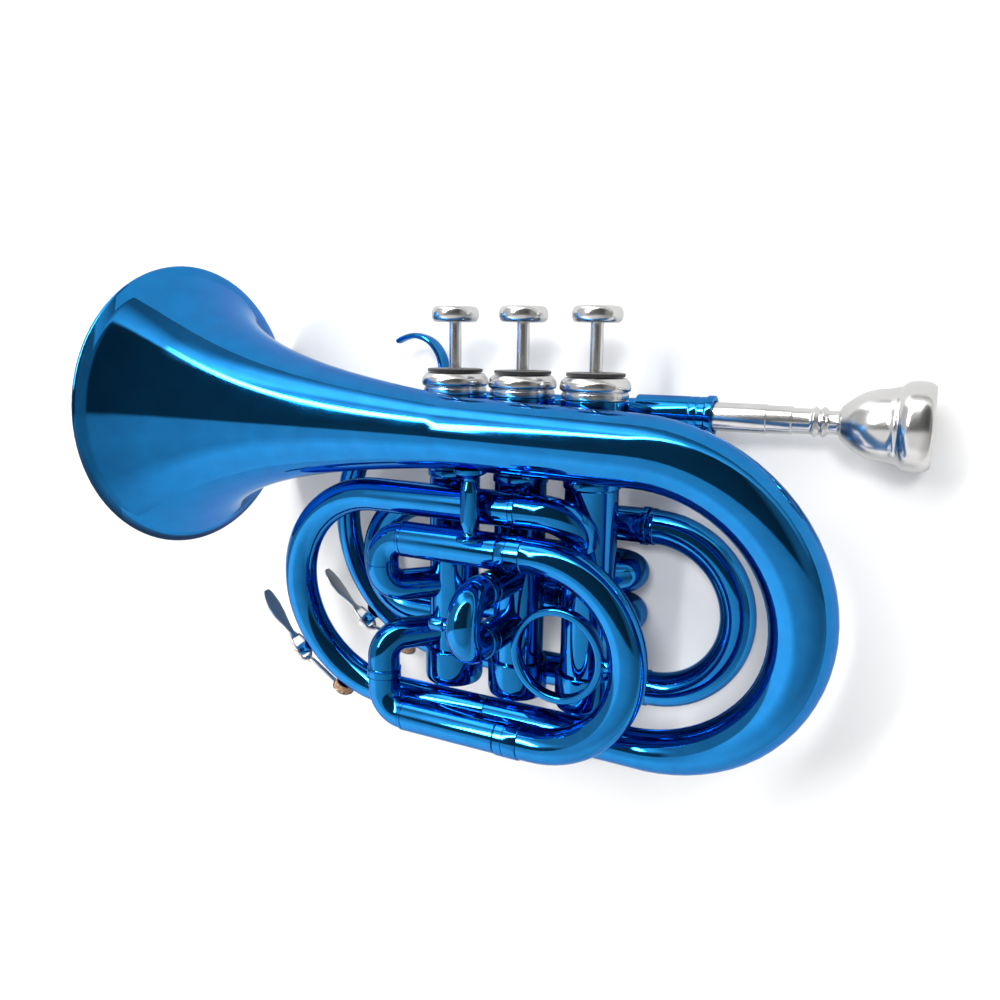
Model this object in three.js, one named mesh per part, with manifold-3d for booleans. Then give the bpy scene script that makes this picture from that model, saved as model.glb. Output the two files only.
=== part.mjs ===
// Pocket trumpet, built as the separate pieces that a repairer would lay out on a bench.
// Millimetres. The horn lies on its right side: +X points to the mouthpiece, +Y to the finger
// buttons and +Z to the player's left. Drawn from the axis of the middle valve, with Y counted
// from the lower edge of the top caps, and set on its resting plane at the end.
import * as THREE from 'three';
import { mergeVertices } from 'three/addons/utils/BufferGeometryUtils.js';
import Module from 'manifold-3d';

const wasm = await Module();
wasm.setup();

// Gaps between pieces
const seatGap = 0.3;
const slideGap = 0.4;
const runningGap = 0.1;
const shoulderLength = 0.4;
const cutOverrun = 2;

// Valve block
const capClearance = 3;
const stroke = 16;
const casingRadius = 9.2;
const casingWall = 0.6;
const casingRingProud = 2.2;
const casingRingHeight = 4.2;
const casingRingChamfer = 2.4;
const casingCollarProud = 0.7;
const casingCollarDrop = 30.6;
const casingCollarHeight = 2;
const casingLength = 103;
const topCapProud = 2.7;
const topCapSkirtProud = 2;
const topCapSkirt = 3;
const topCapRise = 4.2;
const topCapChamfer = 1.4;
const topCapBand = 2.4;
const topCapWall = 1.4;
const topCapPlate = 1.6;
const feltProud = 0.7;
const feltThickness = 1.3;
const feltHole = 3.2;
const bottomCapProud = 1.7;
const bottomCapOverlap = 4.6;
const bottomCapReach = 8.9;
const bottomCapFloor = 1;
const bottomCapVent = 2.6;
const bottomCapLip = 0.8;
const bottomCapBevel = 2;

// Pistons and what rides on them
const pistonClearance = 1.7;
const barrelTop = 5;
const barrelPlate = 2;
const barrelDepth = 29;
const barrelWall = 1.1;
const guideThickness = 2;
const guideWidth = 3.2;
const guideHubInset = 1.9;
const stemRadius = 2.2;
const stemBore = 0.9;
const buttonRadius = 8.45;
const buttonThickness = 5.6;
const buttonEdge = 2;
const buttonDish = 0.5;
const buttonSocket = 3.4;
const springClearance = 1.65;
const springWire = 0.45;
const springCurls = 5;
const passageRadius = 4.4;

// Heights below the cap edge of the valves' ports and of the tubes' axes, as shares of the
// casing's length
const tailPortShare = 0.4689;
const knuckle12Share = 0.6019;
const knuckle23Share = 0.7767;
const entryPortShare = 0.8592;
const thirdUpperPortShare = 0.7068;
const thirdLowerPortShare = 0.8883;
const secondLowerShare = 0.8097;
const firstUpperShare = 0.6311;
const firstLowerShare = 0.7825;
const slideUpperShare = 0.4689;
const slideLowerShare = 1.0573;
const entryLoopShare = 0.8864;
const tailShare = 0.3883;
const thirdUpperShare = 0.5223;

// Tubing
const tubeWall = 0.5;
const innerLegRadius = 5.4;
const crookSlim = 0.15;
const ferruleProud = 0.45;
const ferruleLength = 9;
const ferruleBand = 1.6;

// Mouthpiece, receiver and leadpipe
const leadpipeRadius = 4.9;
const leadpipeDrop = 8;
const receiverRadius = 6.3;
const receiverStart = 36.4;
const receiverLength = 26.4;
const receiverRing = 2.6;
const receiverRingProud = 0.6;
const receiverGroove = 0.8;
const leadpipeSeat = 5;
const leadpipeJointX = -30;
const shankRadius = 4.75;
const shankTipRadius = 4.45;
const shankGap = 0.4;
const mouthpieceReach = 65.4;
const mouthpieceRimRadius = 13.75;
const mouthpieceRimLength = 9.4;
const mouthpieceRimEdge = 2.6;
const mouthpieceThroat = 1.9;
const mouthpieceBackbore = 3.9;
const cupRadius = 8.3;
const cupDepth = 12;
const cupFloorRadius = 4.2;
const cupOuterRadius = 11.9;
const neckRadius = 3.6;
const beadRadius = 4.9;
const beadWidth = 2;
const sleeveStepRadius = 4.1;
const shankStepRadius = 4.5;

// How far from the receiver the mouthpiece changes, as shares of its visible length
const shankStepShare = 0.26;
const sleeveStepShare = 0.382;
const neckShare = 0.473;
const beadShare = 0.52;
const cupStartShare = 0.593;

// The bowl's outside: how far from its start to the rim, and its share of the bowl's radius
const bowlOutlineShares = [[0, 0.33], [0.06, 0.46], [0.25, 0.71], [0.42, 0.86], [0.6, 0.92], [0.88, 0.965]];

// Leadpipe loop and main tuning slide, in the low layer
const lowLayerClearance = 4.5;
const frontLoopX = -39.3;
const rearCrookX = 42.2;
const upperSleeveStart = 2;
const lowerSleeveStart = -12;
const sleeveEndBead = 0.6;
const sleeveEndBeadLength = 2.2;
const mainLegInsert = 30;
const sleeveSeat = 5;
const entryLoopGap = 1.2;
const entryLoopLift = 7;
const entryElbowRadius = 11;
const entryElbowStart = 8.3;
const entryRiseShares = [0, 0.4, 0.9];

// Bell and its tail
const bellRimX = -132;
const bellRimRadius = 52.1;
const bellRimDrop = 11.5;
const bellBeadRadius = 1.15;
const bellClearance = 1.7;
const bellSlope = 0.026;
const bellWall = 0.7;
const bellFlareShift = 46;
const bellThroatRadius = 12;
const bellThroatX = -14;
const bowStartX = 49;
const bowStartRadius = 11.4;
const bowSideRadius = 9.6;
const bottomRunTaper = 0.8;
const bottomRunGap = 0.6;
const tailWall = 0.3;
const tailLoopX = -50.7;
const tailJointX = -8;
const tailSleeveX = 5.5;
const tailKnuckleStraight = 7.6;
const tailKnuckleRadius = 11.4;
const tailFallShares = [0, -0.74, -0.67];

// Third valve slide
const thirdClearance = 5;
const thirdLowerLag = 0.5;
const thirdSleeveStart = -36;
const thirdSleeveEnd = 3;
const thirdCrookX = 16.4;
const thirdElbowShare = 0.474;
const thirdTurnShare = 0.421;
const thirdLegInsert = 33;
const ringWire = 2.5;
const ringDepth = 4.4;
const ringShare = 0.496;
const ringLift = 0.65;
const ringPostLength = 2.5;
const ringPostRadius = 2.1;

// Second and first valve slides
const secondSleeveEnd = 27.2;
const secondSlideSlim = 0.55;
const secondLegGap = 0.35;
const secondCrookStart = 32.4;
const secondLegInsert = 13;
const secondKnobRadius = 2.3;
const secondKnobNeck = 1.4;
const secondKnobLength = 5.4;
const firstDepth = 24.4;
const firstSleeveEndX = 8;
const firstCrookX = -2.5;
const firstLegInsert = 19;
const firstElbowRadius = 9;
const firstPortAngle = 50;

// Bell brace and finger hook
const braceX = -6.2;
const braceHeight = 25.6;
const braceNeckRadius = 2.1;
const braceBarrelRadius = 3.3;
const braceFlangeRadius = 6;
const braceFlangeThickness = 1;
const hookBaseX = -41.6;
const hookTopRise = 18.4;
const hookTipX = -62.4;
const hookTipRise = 15.4;
const hookThickness = 2.6;
const hookWidth = 6.4;

// Water keys, shared by both
const keyPostRadius = 2.5;
const keyPostRise = 6.8;
const keyPostTop = 2;
const keyFootRadius = 3.6;
const keyFootThickness = 1.2;
const keyPinRadius = 0.8;
const keyForkThickness = 1;
const keyForkRadius = 2;
const keyPaddleLength = 21;
const keyPaddleWidth = 7.4;
const keyPaddleThickness = 1.3;
const keyPaddleStart = 9;
const keyArmThickness = 2;
const keyArmHeight = 2.6;
const keyCorkRadius = 3.7;
const keyCorkThickness = 2.6;
const keyCupWall = 0.6;
const keyCupDepth = 1.6;
const keyNippleRadius = 3.1;
const keyNippleBore = 1.8;
const keyNippleRise = 1.1;
const nearKeyAngle = 215;
const nearCorkAngle = 241;
const farKeyAngle = 226.5;
const farCorkAngle = 247;
const keyPaddleSplay = -2;

// Facets
const tubeSides = 12;
const straightTubeSides = 14;
const bellSides = 22;
const turnedSides = 18;
const smallSides = 10;
const bendStepAngle = Math.PI / 7;
const flareStations = 10;
const weldReach = 0.0001;
const leastFacet = 0.001;

const X = new THREE.Vector3(1, 0, 0);
const Y = new THREE.Vector3(0, 1, 0);
const Z = new THREE.Vector3(0, 0, 1);
const minusX = X.clone().negate();
const minusY = Y.clone().negate();
const minusZ = Z.clone().negate();
const halfTurn = Math.PI;
const quarterTurn = Math.PI / 2;

const blueLacquer = { color: 0x1f6fc4, metalness: 0.95, roughness: 0.12 };
const silverPlate = { color: 0xd9dbdd, metalness: 1, roughness: 0.1 };
const darkFelt = { color: 0x17171a, metalness: 0, roughness: 0.95 };
const naturalCork = { color: 0xb08c6c, metalness: 0, roughness: 0.85 };
const springSteel = { color: 0x8d9196, metalness: 1, roughness: 0.3 };
const pistonMetal = { color: 0xc4c2ba, metalness: 1, roughness: 0.22 };

function radians(degrees) {
  return THREE.MathUtils.degToRad(degrees);
}

// A closed geometry becomes a solid that can be joined and cut.
function toSolid(geometry) {
  const bare = geometry.index ? geometry.toNonIndexed() : geometry.clone();
  bare.deleteAttribute('normal');
  bare.deleteAttribute('uv');
  const merged = mergeVertices(bare, weldReach);
  const kept = [];
  const corners = merged.index.array;
  for (let at = 0; at < corners.length; at += 3) {
    const [a, b, c] = [corners[at], corners[at + 1], corners[at + 2]];
    if (a !== b && b !== c && c !== a) kept.push(a, b, c);
  }
  return new wasm.Manifold(new wasm.Mesh({
    numProp: 3,
    vertProperties: merged.attributes.position.array,
    triVerts: new Uint32Array(kept),
  }));
}

function toGeometry(solid) {
  const mesh = solid.getMesh();
  const geometry = new THREE.BufferGeometry();
  geometry.setAttribute('position', new THREE.BufferAttribute(mesh.vertProperties, 3));
  geometry.setIndex(new THREE.BufferAttribute(mesh.triVerts, 1));
  geometry.computeVertexNormals();
  return geometry;
}

function joined(...solids) {
  return solids.reduce((whole, next) => whole.add(next));
}

// Where two surfaces nearly meet, a boolean leaves slivers. Corners that share a place are welded
// and the slivers dissolved before the piece is kept.
function piece(name, solid, finish) {
  const welded = toSolid(toGeometry(solid.simplify(leastFacet)));
  const geometry = toGeometry(welded.simplify(leastFacet));
  const mesh = new THREE.Mesh(geometry, new THREE.MeshStandardMaterial(finish));
  mesh.name = name;
  return mesh;
}

// The profile is a list of [radius, height] pairs. Either winding of it gives faces that point out.
function turned(profile, sides = turnedSides) {
  const points = profile.map(([radius, height]) => new THREE.Vector2(radius, height));
  const solid = toSolid(new THREE.LatheGeometry(points, sides));
  if (solid.volume() > 0) return solid;
  return toSolid(new THREE.LatheGeometry(points.reverse(), sides));
}

// A tube wall or ring turned from a closed outline.
function turnedRing(profile, sides) {
  return turned([...profile, profile[0]], sides);
}

// A plain round rod between two points.
function rod(from, to, radius, sides = smallSides) {
  const along = to.clone().sub(from);
  const geometry = new THREE.CylinderGeometry(radius, radius, along.length(), sides);
  const turn = new THREE.Quaternion().setFromUnitVectors(Y, along.clone().normalize());
  geometry.applyQuaternion(turn);
  const middle = from.clone().add(to).divideScalar(2);
  geometry.translate(middle.x, middle.y, middle.z);
  return toSolid(geometry);
}

// The route of a tube, laid like pipework: straight lengths, bends and shoulders. Each station
// keeps its place, its heading and the outer and bore radius that the tube has there.
class Route extends THREE.Curve {
  constructor(start, heading, outer, bore) {
    super();
    this.place = start.clone();
    this.heading = heading.clone().normalize();
    this.outer = outer;
    this.bore = bore;
    this.stations = [];
    this.mark();
  }

  mark() {
    this.stations.push({
      place: this.place.clone(),
      heading: this.heading.clone(),
      outer: this.outer,
      bore: this.bore,
    });
    return this;
  }

  straight(length, outer = this.outer, bore = this.bore) {
    this.place.addScaledVector(this.heading, length);
    this.outer = outer;
    this.bore = bore;
    return this.mark();
  }

  shoulder(outer, bore = this.bore) {
    return this.straight(shoulderLength, outer, bore);
  }

  bend(radius, angle, toward, outer = this.outer, bore = this.bore) {
    const ahead = this.heading.clone();
    const side = toward.clone().addScaledVector(ahead, -toward.dot(ahead)).normalize();
    const centre = this.place.clone().addScaledVector(side, radius);
    const steps = Math.ceil(angle / bendStepAngle);
    const [firstOuter, firstBore] = [this.outer, this.bore];
    for (let step = 1; step <= steps; step += 1) {
      const share = step / steps;
      const turn = angle * share;
      this.place = centre.clone()
        .addScaledVector(side, -radius * Math.cos(turn))
        .addScaledVector(ahead, radius * Math.sin(turn));
      this.heading = ahead.clone().multiplyScalar(Math.cos(turn))
        .addScaledVector(side, Math.sin(turn));
      this.outer = THREE.MathUtils.lerp(firstOuter, outer, share);
      this.bore = THREE.MathUtils.lerp(firstBore, bore, share);
      this.mark();
    }
    return this;
  }

  at(share) {
    return this.stations[Math.round(share * (this.stations.length - 1))];
  }

  getPointAt(share, target = new THREE.Vector3()) {
    return target.copy(this.at(share).place);
  }

  getTangentAt(share, target = new THREE.Vector3()) {
    return target.copy(this.at(share).heading);
  }
}

// Extrudes a section of unit size along the route, then sets every corner to the radius that its
// own station gives it.
function swept(route, section, sides, radiusAt) {
  const geometry = new THREE.ExtrudeGeometry(section, {
    steps: route.stations.length - 1,
    curveSegments: sides / 2,
    extrudePath: route,
  });
  const corners = geometry.attributes.position;
  const corner = new THREE.Vector3();
  for (let index = 0; index < corners.count; index += 1) {
    corner.fromBufferAttribute(corners, index);
    const station = route.stations.reduce((best, candidate) => {
      const offset = corner.clone().sub(candidate.place);
      const distance = offset.length() + Math.abs(offset.dot(candidate.heading));
      return distance < best.distance ? { candidate, distance } : best;
    }, { distance: Infinity }).candidate;
    corner.sub(station.place);
    corner.setLength(radiusAt(station, corner.length())).add(station.place);
    corners.setXYZ(index, corner.x, corner.y, corner.z);
  }
  return toSolid(geometry);
}

function pipe(route, sides = tubeSides) {
  const holeShare = 0.5;
  const middleShare = 0.75;
  const section = new THREE.Shape().absarc(0, 0, 1, 0, 2 * Math.PI, false);
  section.holes.push(new THREE.Path().absarc(0, 0, holeShare, 0, 2 * Math.PI, true));
  const radiusAt = (station, found) => (found > middleShare ? station.outer : station.bore);
  return swept(route, section, sides, radiusAt);
}

// The air inside a tube, as a solid.
function airIn(route) {
  const section = new THREE.Shape().absarc(0, 0, 1, 0, 2 * Math.PI, false);
  return swept(route, section, tubeSides, (station) => station.bore);
}

// The space that a tube takes, with a gap round it.
function spaceOf(route, gap, sides = tubeSides) {
  const section = new THREE.Shape().absarc(0, 0, 1, 0, 2 * Math.PI, false);
  return swept(route, section, sides, (station) => station.outer + gap);
}

// The space that a valve casing takes, with the seat gap, to cut what meets it.
function casingSpace(valveX) {
  const top = new THREE.Vector3(valveX, cutOverrun, 0);
  const foot = new THREE.Vector3(valveX, -casingLength, 0);
  return rod(foot, top, casingRadius + seatGap, turnedSides);
}

function valveAxis(number) {
  return (2 - number) * valveSpacing;
}

// Sizes that follow from the named ones
const casingRingRadius = casingRadius + casingRingProud;
const topCapRadius = casingRadius + topCapProud;
const topCapSkirtRadius = casingRadius + topCapSkirtProud;
const feltRadius = casingRadius + feltProud;
const bottomCapRadius = casingRadius + bottomCapProud;
const valveSpacing = 2 * topCapRadius + capClearance;
const casingBore = casingRadius - casingWall;
const casingTop = -topCapSkirt - seatGap;
const bottomCapDrop = casingLength - bottomCapOverlap;
const bottomCapEnd = casingLength + bottomCapReach;
const pistonRadius = casingBore - seatGap;
const pistonHead = barrelTop + barrelDepth;
const pistonFoot = bottomCapEnd - bottomCapFloor - stroke - pistonClearance;
const springRadius = pistonRadius - barrelWall - springWire - springClearance;
const feltTop = topCapRise + seatGap + feltThickness;
const buttonUnder = feltTop + stroke;

const tubeBore = innerLegRadius - tubeWall;
const sleeveBore = innerLegRadius + slideGap;
const sleeveRadius = sleeveBore + tubeWall;
const crookRadius = sleeveRadius - crookSlim;
const tailRadius = sleeveBore + tailWall;
const bottomRunRadius = tailRadius + bottomRunTaper;
const receiverEnd = receiverStart + receiverLength;

const tailPortDrop = casingLength * tailPortShare;
const knuckle12Drop = casingLength * knuckle12Share;
const knuckle23Drop = casingLength * knuckle23Share;
const entryPortDrop = casingLength * entryPortShare;
const thirdUpperPortDrop = casingLength * thirdUpperPortShare;
const thirdLowerPortDrop = casingLength * thirdLowerPortShare;
const secondLowerDrop = casingLength * secondLowerShare;
const firstUpperDrop = casingLength * firstUpperShare;
const firstLowerDrop = casingLength * firstLowerShare;
const slideUpperDrop = casingLength * slideUpperShare;
const slideLowerDrop = casingLength * slideLowerShare;
const entryLoopDrop = casingLength * entryLoopShare;
const tailDrop = casingLength * tailShare;
const thirdUpperDrop = casingLength * thirdUpperShare;
const secondLegRadius = sleeveRadius - secondSlideSlim;
const secondUpperDrop = thirdUpperDrop + sleeveRadius + secondLegRadius + secondLegGap;
const bottomRunDrop = bottomCapEnd + bottomRunGap + bottomRunRadius;
const thirdLowerDrop = bottomRunDrop + thirdLowerLag;

const bellHeight = casingRadius + bellClearance + bellThroatRadius;
const tailHeight = casingRadius + seatGap + tailRadius;
const thirdHeight = casingRadius + thirdClearance + sleeveRadius;
const bottomRunHeight = thirdHeight - sleeveRadius - seatGap - bottomRunRadius;
const leadpipeHeight = -(topCapRadius + seatGap + leadpipeRadius);
const lowLayerDepth = casingRadius + lowLayerClearance + sleeveRadius;
const entryLoopDepth = lowLayerDepth - entryLoopLift;

const thirdElbowRadius = (thirdUpperPortDrop - thirdUpperDrop) * thirdElbowShare;
const thirdTurnRadius = (thirdUpperPortDrop - thirdUpperDrop) * thirdTurnShare;
const thirdBowRadius = (thirdLowerDrop - thirdUpperDrop) / 2;
const ringRadius = thirdBowRadius * ringShare;
const ringCentreX = thirdCrookX + thirdBowRadius - crookRadius - ringPostLength - ringRadius;
const ringCentreDrop = (thirdUpperDrop + thirdLowerDrop) / 2 - ringLift;

// The loop into valve 3 lies inside the leadpipe's loop, with a gap where they come nearest.
const frontLoopRadius = Math.hypot(slideLowerDrop - leadpipeDrop, lowLayerDepth + leadpipeHeight) / 2;
const entryLoopRadius = Math.hypot(entryLoopDrop - slideUpperDrop, entryLoopLift) / 2;
const entryRoom = frontLoopRadius - leadpipeRadius - entryLoopGap - entryLoopRadius - crookRadius;
const entryShift = (slideUpperDrop + entryLoopDrop - leadpipeDrop - slideLowerDrop) / 2;
const entryLoopX = frontLoopX - Math.sqrt(entryRoom ** 2 - entryShift ** 2);

// Ports of each valve: where the tube's axis comes in, as a height and a direction.
const entryRise = new THREE.Vector3(...entryRiseShares);
const firstPortDirection = new THREE.Vector3(
  Math.cos(radians(firstPortAngle)), 0, -Math.sin(radians(firstPortAngle)),
);
const thirdPortDirection = new THREE.Vector3(
  thirdSleeveStart - thirdElbowRadius - valveAxis(3), 0, thirdHeight,
).normalize();
const valvePorts = {
  1: {
    passage: [[knuckle12Drop, minusX], [tailPortDrop, Z]],
    slide: [[firstUpperDrop, firstPortDirection], [firstLowerDrop, firstPortDirection]],
  },
  2: {
    passage: [[knuckle23Drop, minusX], [knuckle12Drop, X]],
    slide: [[secondUpperDrop, Z], [secondLowerDrop, Z]],
  },
  3: {
    passage: [[entryPortDrop, minusZ], [knuckle23Drop, X]],
    slide: [[thirdUpperPortDrop, thirdPortDirection], [thirdLowerPortDrop, thirdPortDirection]],
  },
};

function portPoint(drop, direction, reach) {
  return direction.clone().multiplyScalar(reach).setY(-drop);
}

function casing(number) {
  const collarTop = -casingCollarDrop;
  const collarFoot = collarTop - casingCollarHeight;
  const ringFoot = casingTop - casingRingHeight;
  const wall = turnedRing([
    [casingBore, casingTop],
    [casingRingRadius, casingTop],
    [casingRingRadius, ringFoot],
    [casingRadius, ringFoot - casingRingChamfer],
    [casingRadius, collarTop + casingCollarProud],
    [casingRadius + casingCollarProud, collarTop],
    [casingRadius + casingCollarProud, collarFoot],
    [casingRadius, collarFoot - casingCollarProud],
    [casingRadius, -casingLength],
    [casingBore, -casingLength],
  ]);
  const ports = valvePorts[number];
  const cuts = [...ports.passage, ...ports.slide].map(([drop, direction]) => rod(
    portPoint(drop, direction, 0),
    portPoint(drop, direction, casingRadius + cutOverrun),
    passageRadius,
  ));
  return cuts.reduce((body, cut) => body.subtract(cut), wall);
}

function topCap() {
  const plateFoot = topCapRise - topCapPlate;
  return turnedRing([
    [topCapRadius - topCapChamfer, topCapRise],
    [topCapRadius, topCapRise - topCapChamfer],
    [topCapRadius, topCapRise - topCapChamfer - topCapBand],
    [topCapSkirtRadius, topCapRise - topCapChamfer - topCapBand],
    [topCapSkirtRadius, -topCapSkirt],
    [topCapSkirtRadius - topCapWall, -topCapSkirt],
    [topCapSkirtRadius - topCapWall, plateFoot],
    [stemRadius + seatGap, plateFoot],
    [stemRadius + seatGap, topCapRise],
  ]);
}

function capFelt() {
  const foot = topCapRise + seatGap;
  return turnedRing([
    [feltHole, foot], [feltRadius, foot], [feltRadius, feltTop], [feltHole, feltTop],
  ]);
}

function bottomCap() {
  const outerFoot = -bottomCapEnd;
  return turnedRing([
    [casingRadius + seatGap, -bottomCapDrop],
    [bottomCapRadius, -bottomCapDrop],
    [bottomCapRadius, outerFoot + bottomCapBevel],
    [bottomCapRadius - bottomCapBevel, outerFoot],
    [bottomCapVent, outerFoot],
    [bottomCapVent, outerFoot + bottomCapFloor],
    [casingBore, outerFoot + bottomCapFloor],
    [casingBore, -casingLength - seatGap - bottomCapLip],
    [casingRadius + seatGap, -casingLength - seatGap - bottomCapLip],
  ]);
}

// Solid cylinder, drilled for the air at rest, with the spring barrel above it. The barrel's two
// slots slide past the lugs of the guide.
function piston(number) {
  const barrelBore = pistonRadius - barrelWall;
  const body = turned([
    [0, -pistonFoot],
    [pistonRadius, -pistonFoot],
    [pistonRadius, -barrelTop],
    [stemRadius + runningGap, -barrelTop],
    [stemRadius + runningGap, -barrelTop - barrelPlate],
    [barrelBore, -barrelTop - barrelPlate],
    [barrelBore, -pistonHead],
    [0, -pistonHead],
  ]);
  const slotTop = -pistonHead + guideThickness + seatGap + stroke + seatGap;
  const slotFoot = -pistonHead;
  const slot = new THREE.BoxGeometry(
    2 * (pistonRadius + cutOverrun), slotTop - slotFoot, guideWidth + 2 * seatGap,
  );
  slot.translate(0, (slotTop + slotFoot) / 2, 0);
  const [inlet, outlet] = valvePorts[number].passage;
  const crossing = new THREE.Vector3(0, -(inlet[0] + outlet[0]) / 2, 0);
  const arms = [inlet, outlet].map(([drop, direction]) => {
    const arm = portPoint(drop, direction, pistonRadius).sub(crossing);
    arm.setLength(arm.length() + passageRadius + cutOverrun);
    return rod(crossing, arm.add(crossing), passageRadius);
  });
  const turn = new THREE.SphereGeometry(passageRadius, smallSides, smallSides / 2);
  const passage = joined(...arms, toSolid(turn.translate(0, crossing.y, 0)));
  return body.subtract(toSolid(slot)).subtract(passage);
}

// Fixed cross bar that the spring stands on. Its two lugs reach the casing wall.
function guide() {
  const foot = -pistonHead + seatGap;
  const top = foot + guideThickness;
  const hubRadius = pistonRadius - guideHubInset;
  const hub = turned([[0, foot], [hubRadius, foot], [hubRadius, top], [0, top]]);
  const disc = turned([[0, foot], [pistonRadius, foot], [pistonRadius, top], [0, top]]);
  const bar = new THREE.BoxGeometry(2 * casingBore, guideThickness, guideWidth);
  bar.translate(0, (foot + top) / 2, 0);
  const hole = rod(
    new THREE.Vector3(0, foot - cutOverrun, 0),
    new THREE.Vector3(0, top + cutOverrun, 0),
    stemRadius + seatGap,
  );
  return joined(hub, toSolid(bar).intersect(disc)).subtract(hole);
}

// One wire from the guide up to the barrel's plate.
class Helix extends THREE.Curve {
  constructor(radius, foot, top, curls) {
    super();
    Object.assign(this, { radius, foot, top, curls });
  }

  getPoint(share, target = new THREE.Vector3()) {
    const turn = share * this.curls * 2 * Math.PI;
    const height = THREE.MathUtils.lerp(this.foot, this.top, share);
    return target.set(this.radius * Math.cos(turn), height, this.radius * Math.sin(turn));
  }
}

const springFoot = -pistonHead + seatGap + guideThickness + seatGap + springWire;
const springTop = -barrelTop - barrelPlate - seatGap - springWire;

function spring() {
  const stepsPerCurl = 8;
  const wireSides = 5;
  const helix = new Helix(springRadius, springFoot, springTop, springCurls);
  const section = new THREE.Shape(Array.from({ length: wireSides }, (_, side) => {
    const turn = (side * 2 * Math.PI) / wireSides;
    return new THREE.Vector2(springWire * Math.cos(turn), springWire * Math.sin(turn));
  }));
  return toSolid(new THREE.ExtrudeGeometry(section, {
    steps: springCurls * stepsPerCurl,
    extrudePath: helix,
  }));
}

console.log('valve spring: least gap between curls '
  + `${((springTop - springFoot) / springCurls - 2 * springWire).toFixed(2)} mm`);

// Runs from the barrel's plate up to the button.
function stem() {
  const foot = -barrelTop - barrelPlate;
  const top = buttonUnder + buttonSocket - seatGap;
  return turned([
    [0, foot], [stemRadius, foot], [stemRadius, top - stemBore],
    [stemRadius - stemBore, top], [0, top],
  ], smallSides);
}

function button() {
  const top = buttonUnder + buttonThickness;
  const arc = Math.SQRT1_2 * buttonEdge;
  return turned([
    [0, buttonUnder + buttonSocket],
    [stemRadius + runningGap, buttonUnder + buttonSocket],
    [stemRadius + runningGap, buttonUnder],
    [buttonRadius - buttonEdge, buttonUnder],
    [buttonRadius - buttonEdge + arc, buttonUnder + buttonEdge - arc],
    [buttonRadius, buttonUnder + buttonEdge],
    [buttonRadius, top - buttonEdge],
    [buttonRadius - buttonEdge + arc, top - buttonEdge + arc],
    [buttonRadius - buttonEdge, top],
    [buttonRadius / 2, top - buttonDish / 2],
    [0, top - buttonDish],
  ]);
}

function valve(number) {
  const group = new THREE.Group();
  group.position.x = valveAxis(number);
  group.add(
    piece(`casing_${number}`, casing(number), blueLacquer),
    piece(`top_cap_${number}`, topCap(), silverPlate),
    piece(`cap_felt_${number}`, capFelt(), darkFelt),
    piece(`bottom_cap_${number}`, bottomCap(), blueLacquer),
    piece(`piston_${number}`, piston(number), pistonMetal),
    piece(`valve_guide_${number}`, guide(), silverPlate),
    piece(`valve_spring_${number}`, spring(), springSteel),
    piece(`stem_${number}`, stem(), silverPlate),
    piece(`finger_button_${number}`, button(), silverPlate),
  );
  return group;
}

// Short tube between two neighbouring casings.
function knuckle(name, drop, leftValve, rightValve) {
  const left = valveAxis(leftValve);
  const right = valveAxis(rightValve);
  const route = new Route(new THREE.Vector3(left, -drop, 0), X, innerLegRadius, passageRadius)
    .straight(right - left);
  const body = pipe(route).subtract(casingSpace(left)).subtract(casingSpace(right));
  return piece(name, body, blueLacquer);
}

// The low layer: receiver, leadpipe, main tuning slide and the loop into valve 3.
const receiverBore = leadpipeRadius + seatGap;

function receiver() {
  const ringStart = receiverEnd - receiverRing;
  const grooveRadius = receiverRadius - receiverGroove / 2;
  const profile = [
    [receiverBore, receiverStart],
    [receiverRadius, receiverStart],
    [receiverRadius, ringStart - 3 * receiverGroove],
    [grooveRadius, ringStart - 2 * receiverGroove],
    [receiverRadius, ringStart - receiverGroove],
    [receiverRadius, ringStart],
    [receiverRadius + receiverRingProud, ringStart + receiverRingProud],
    [receiverRadius + receiverRingProud, receiverEnd],
    [receiverBore, receiverEnd],
  ];
  return turnedRing(profile);
}

function lowPoint(x, drop, depth) {
  return new THREE.Vector3(x, -drop, depth);
}

// The leadpipe proper is straight, and a bend carries it on round the front to the main slide.
function leadpipe() {
  const start = receiverStart + leadpipeSeat;
  const mouth = lowPoint(start, leadpipeDrop, leadpipeHeight);
  const route = new Route(mouth, minusX, leadpipeRadius, leadpipeRadius - tubeWall)
    .straight(start - leadpipeJointX - seatGap);
  return pipe(route, straightTubeSides);
}

function leadpipeBend() {
  const down = new THREE.Vector3(0, leadpipeDrop - slideLowerDrop, -lowLayerDepth - leadpipeHeight);
  const mouth = lowPoint(leadpipeJointX, leadpipeDrop, leadpipeHeight);
  return new Route(mouth, minusX, leadpipeRadius, leadpipeRadius - tubeWall)
    .straight(leadpipeJointX - frontLoopX)
    .bend(frontLoopRadius, halfTurn, down)
    .straight(lowerSleeveStart - frontLoopX - ferruleBand - shoulderLength)
    .shoulder(innerLegRadius, tubeBore)
    .straight(ferruleBand + sleeveSeat);
}

// A drain nipple stands on the outside of a front loop, open into the tube.
function drain(loopCentre, loopRadius, tubeRadius, angle, plane) {
  const out = outward(angle, plane);
  const wall = loopCentre.clone().addScaledVector(out, loopRadius);
  const mouth = wall.clone().addScaledVector(out, tubeRadius + keyNippleRise);
  return {
    nipple: rod(wall, mouth, keyNippleRadius),
    bore: rod(wall, mouth.clone().addScaledVector(out, cutOverrun), keyNippleBore),
  };
}

// Direction from a loop's centre at an angle, in the plane that the loop lies in.
function outward(angle, plane) {
  return X.clone().multiplyScalar(Math.cos(radians(angle)))
    .addScaledVector(plane, Math.sin(radians(angle)));
}

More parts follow.
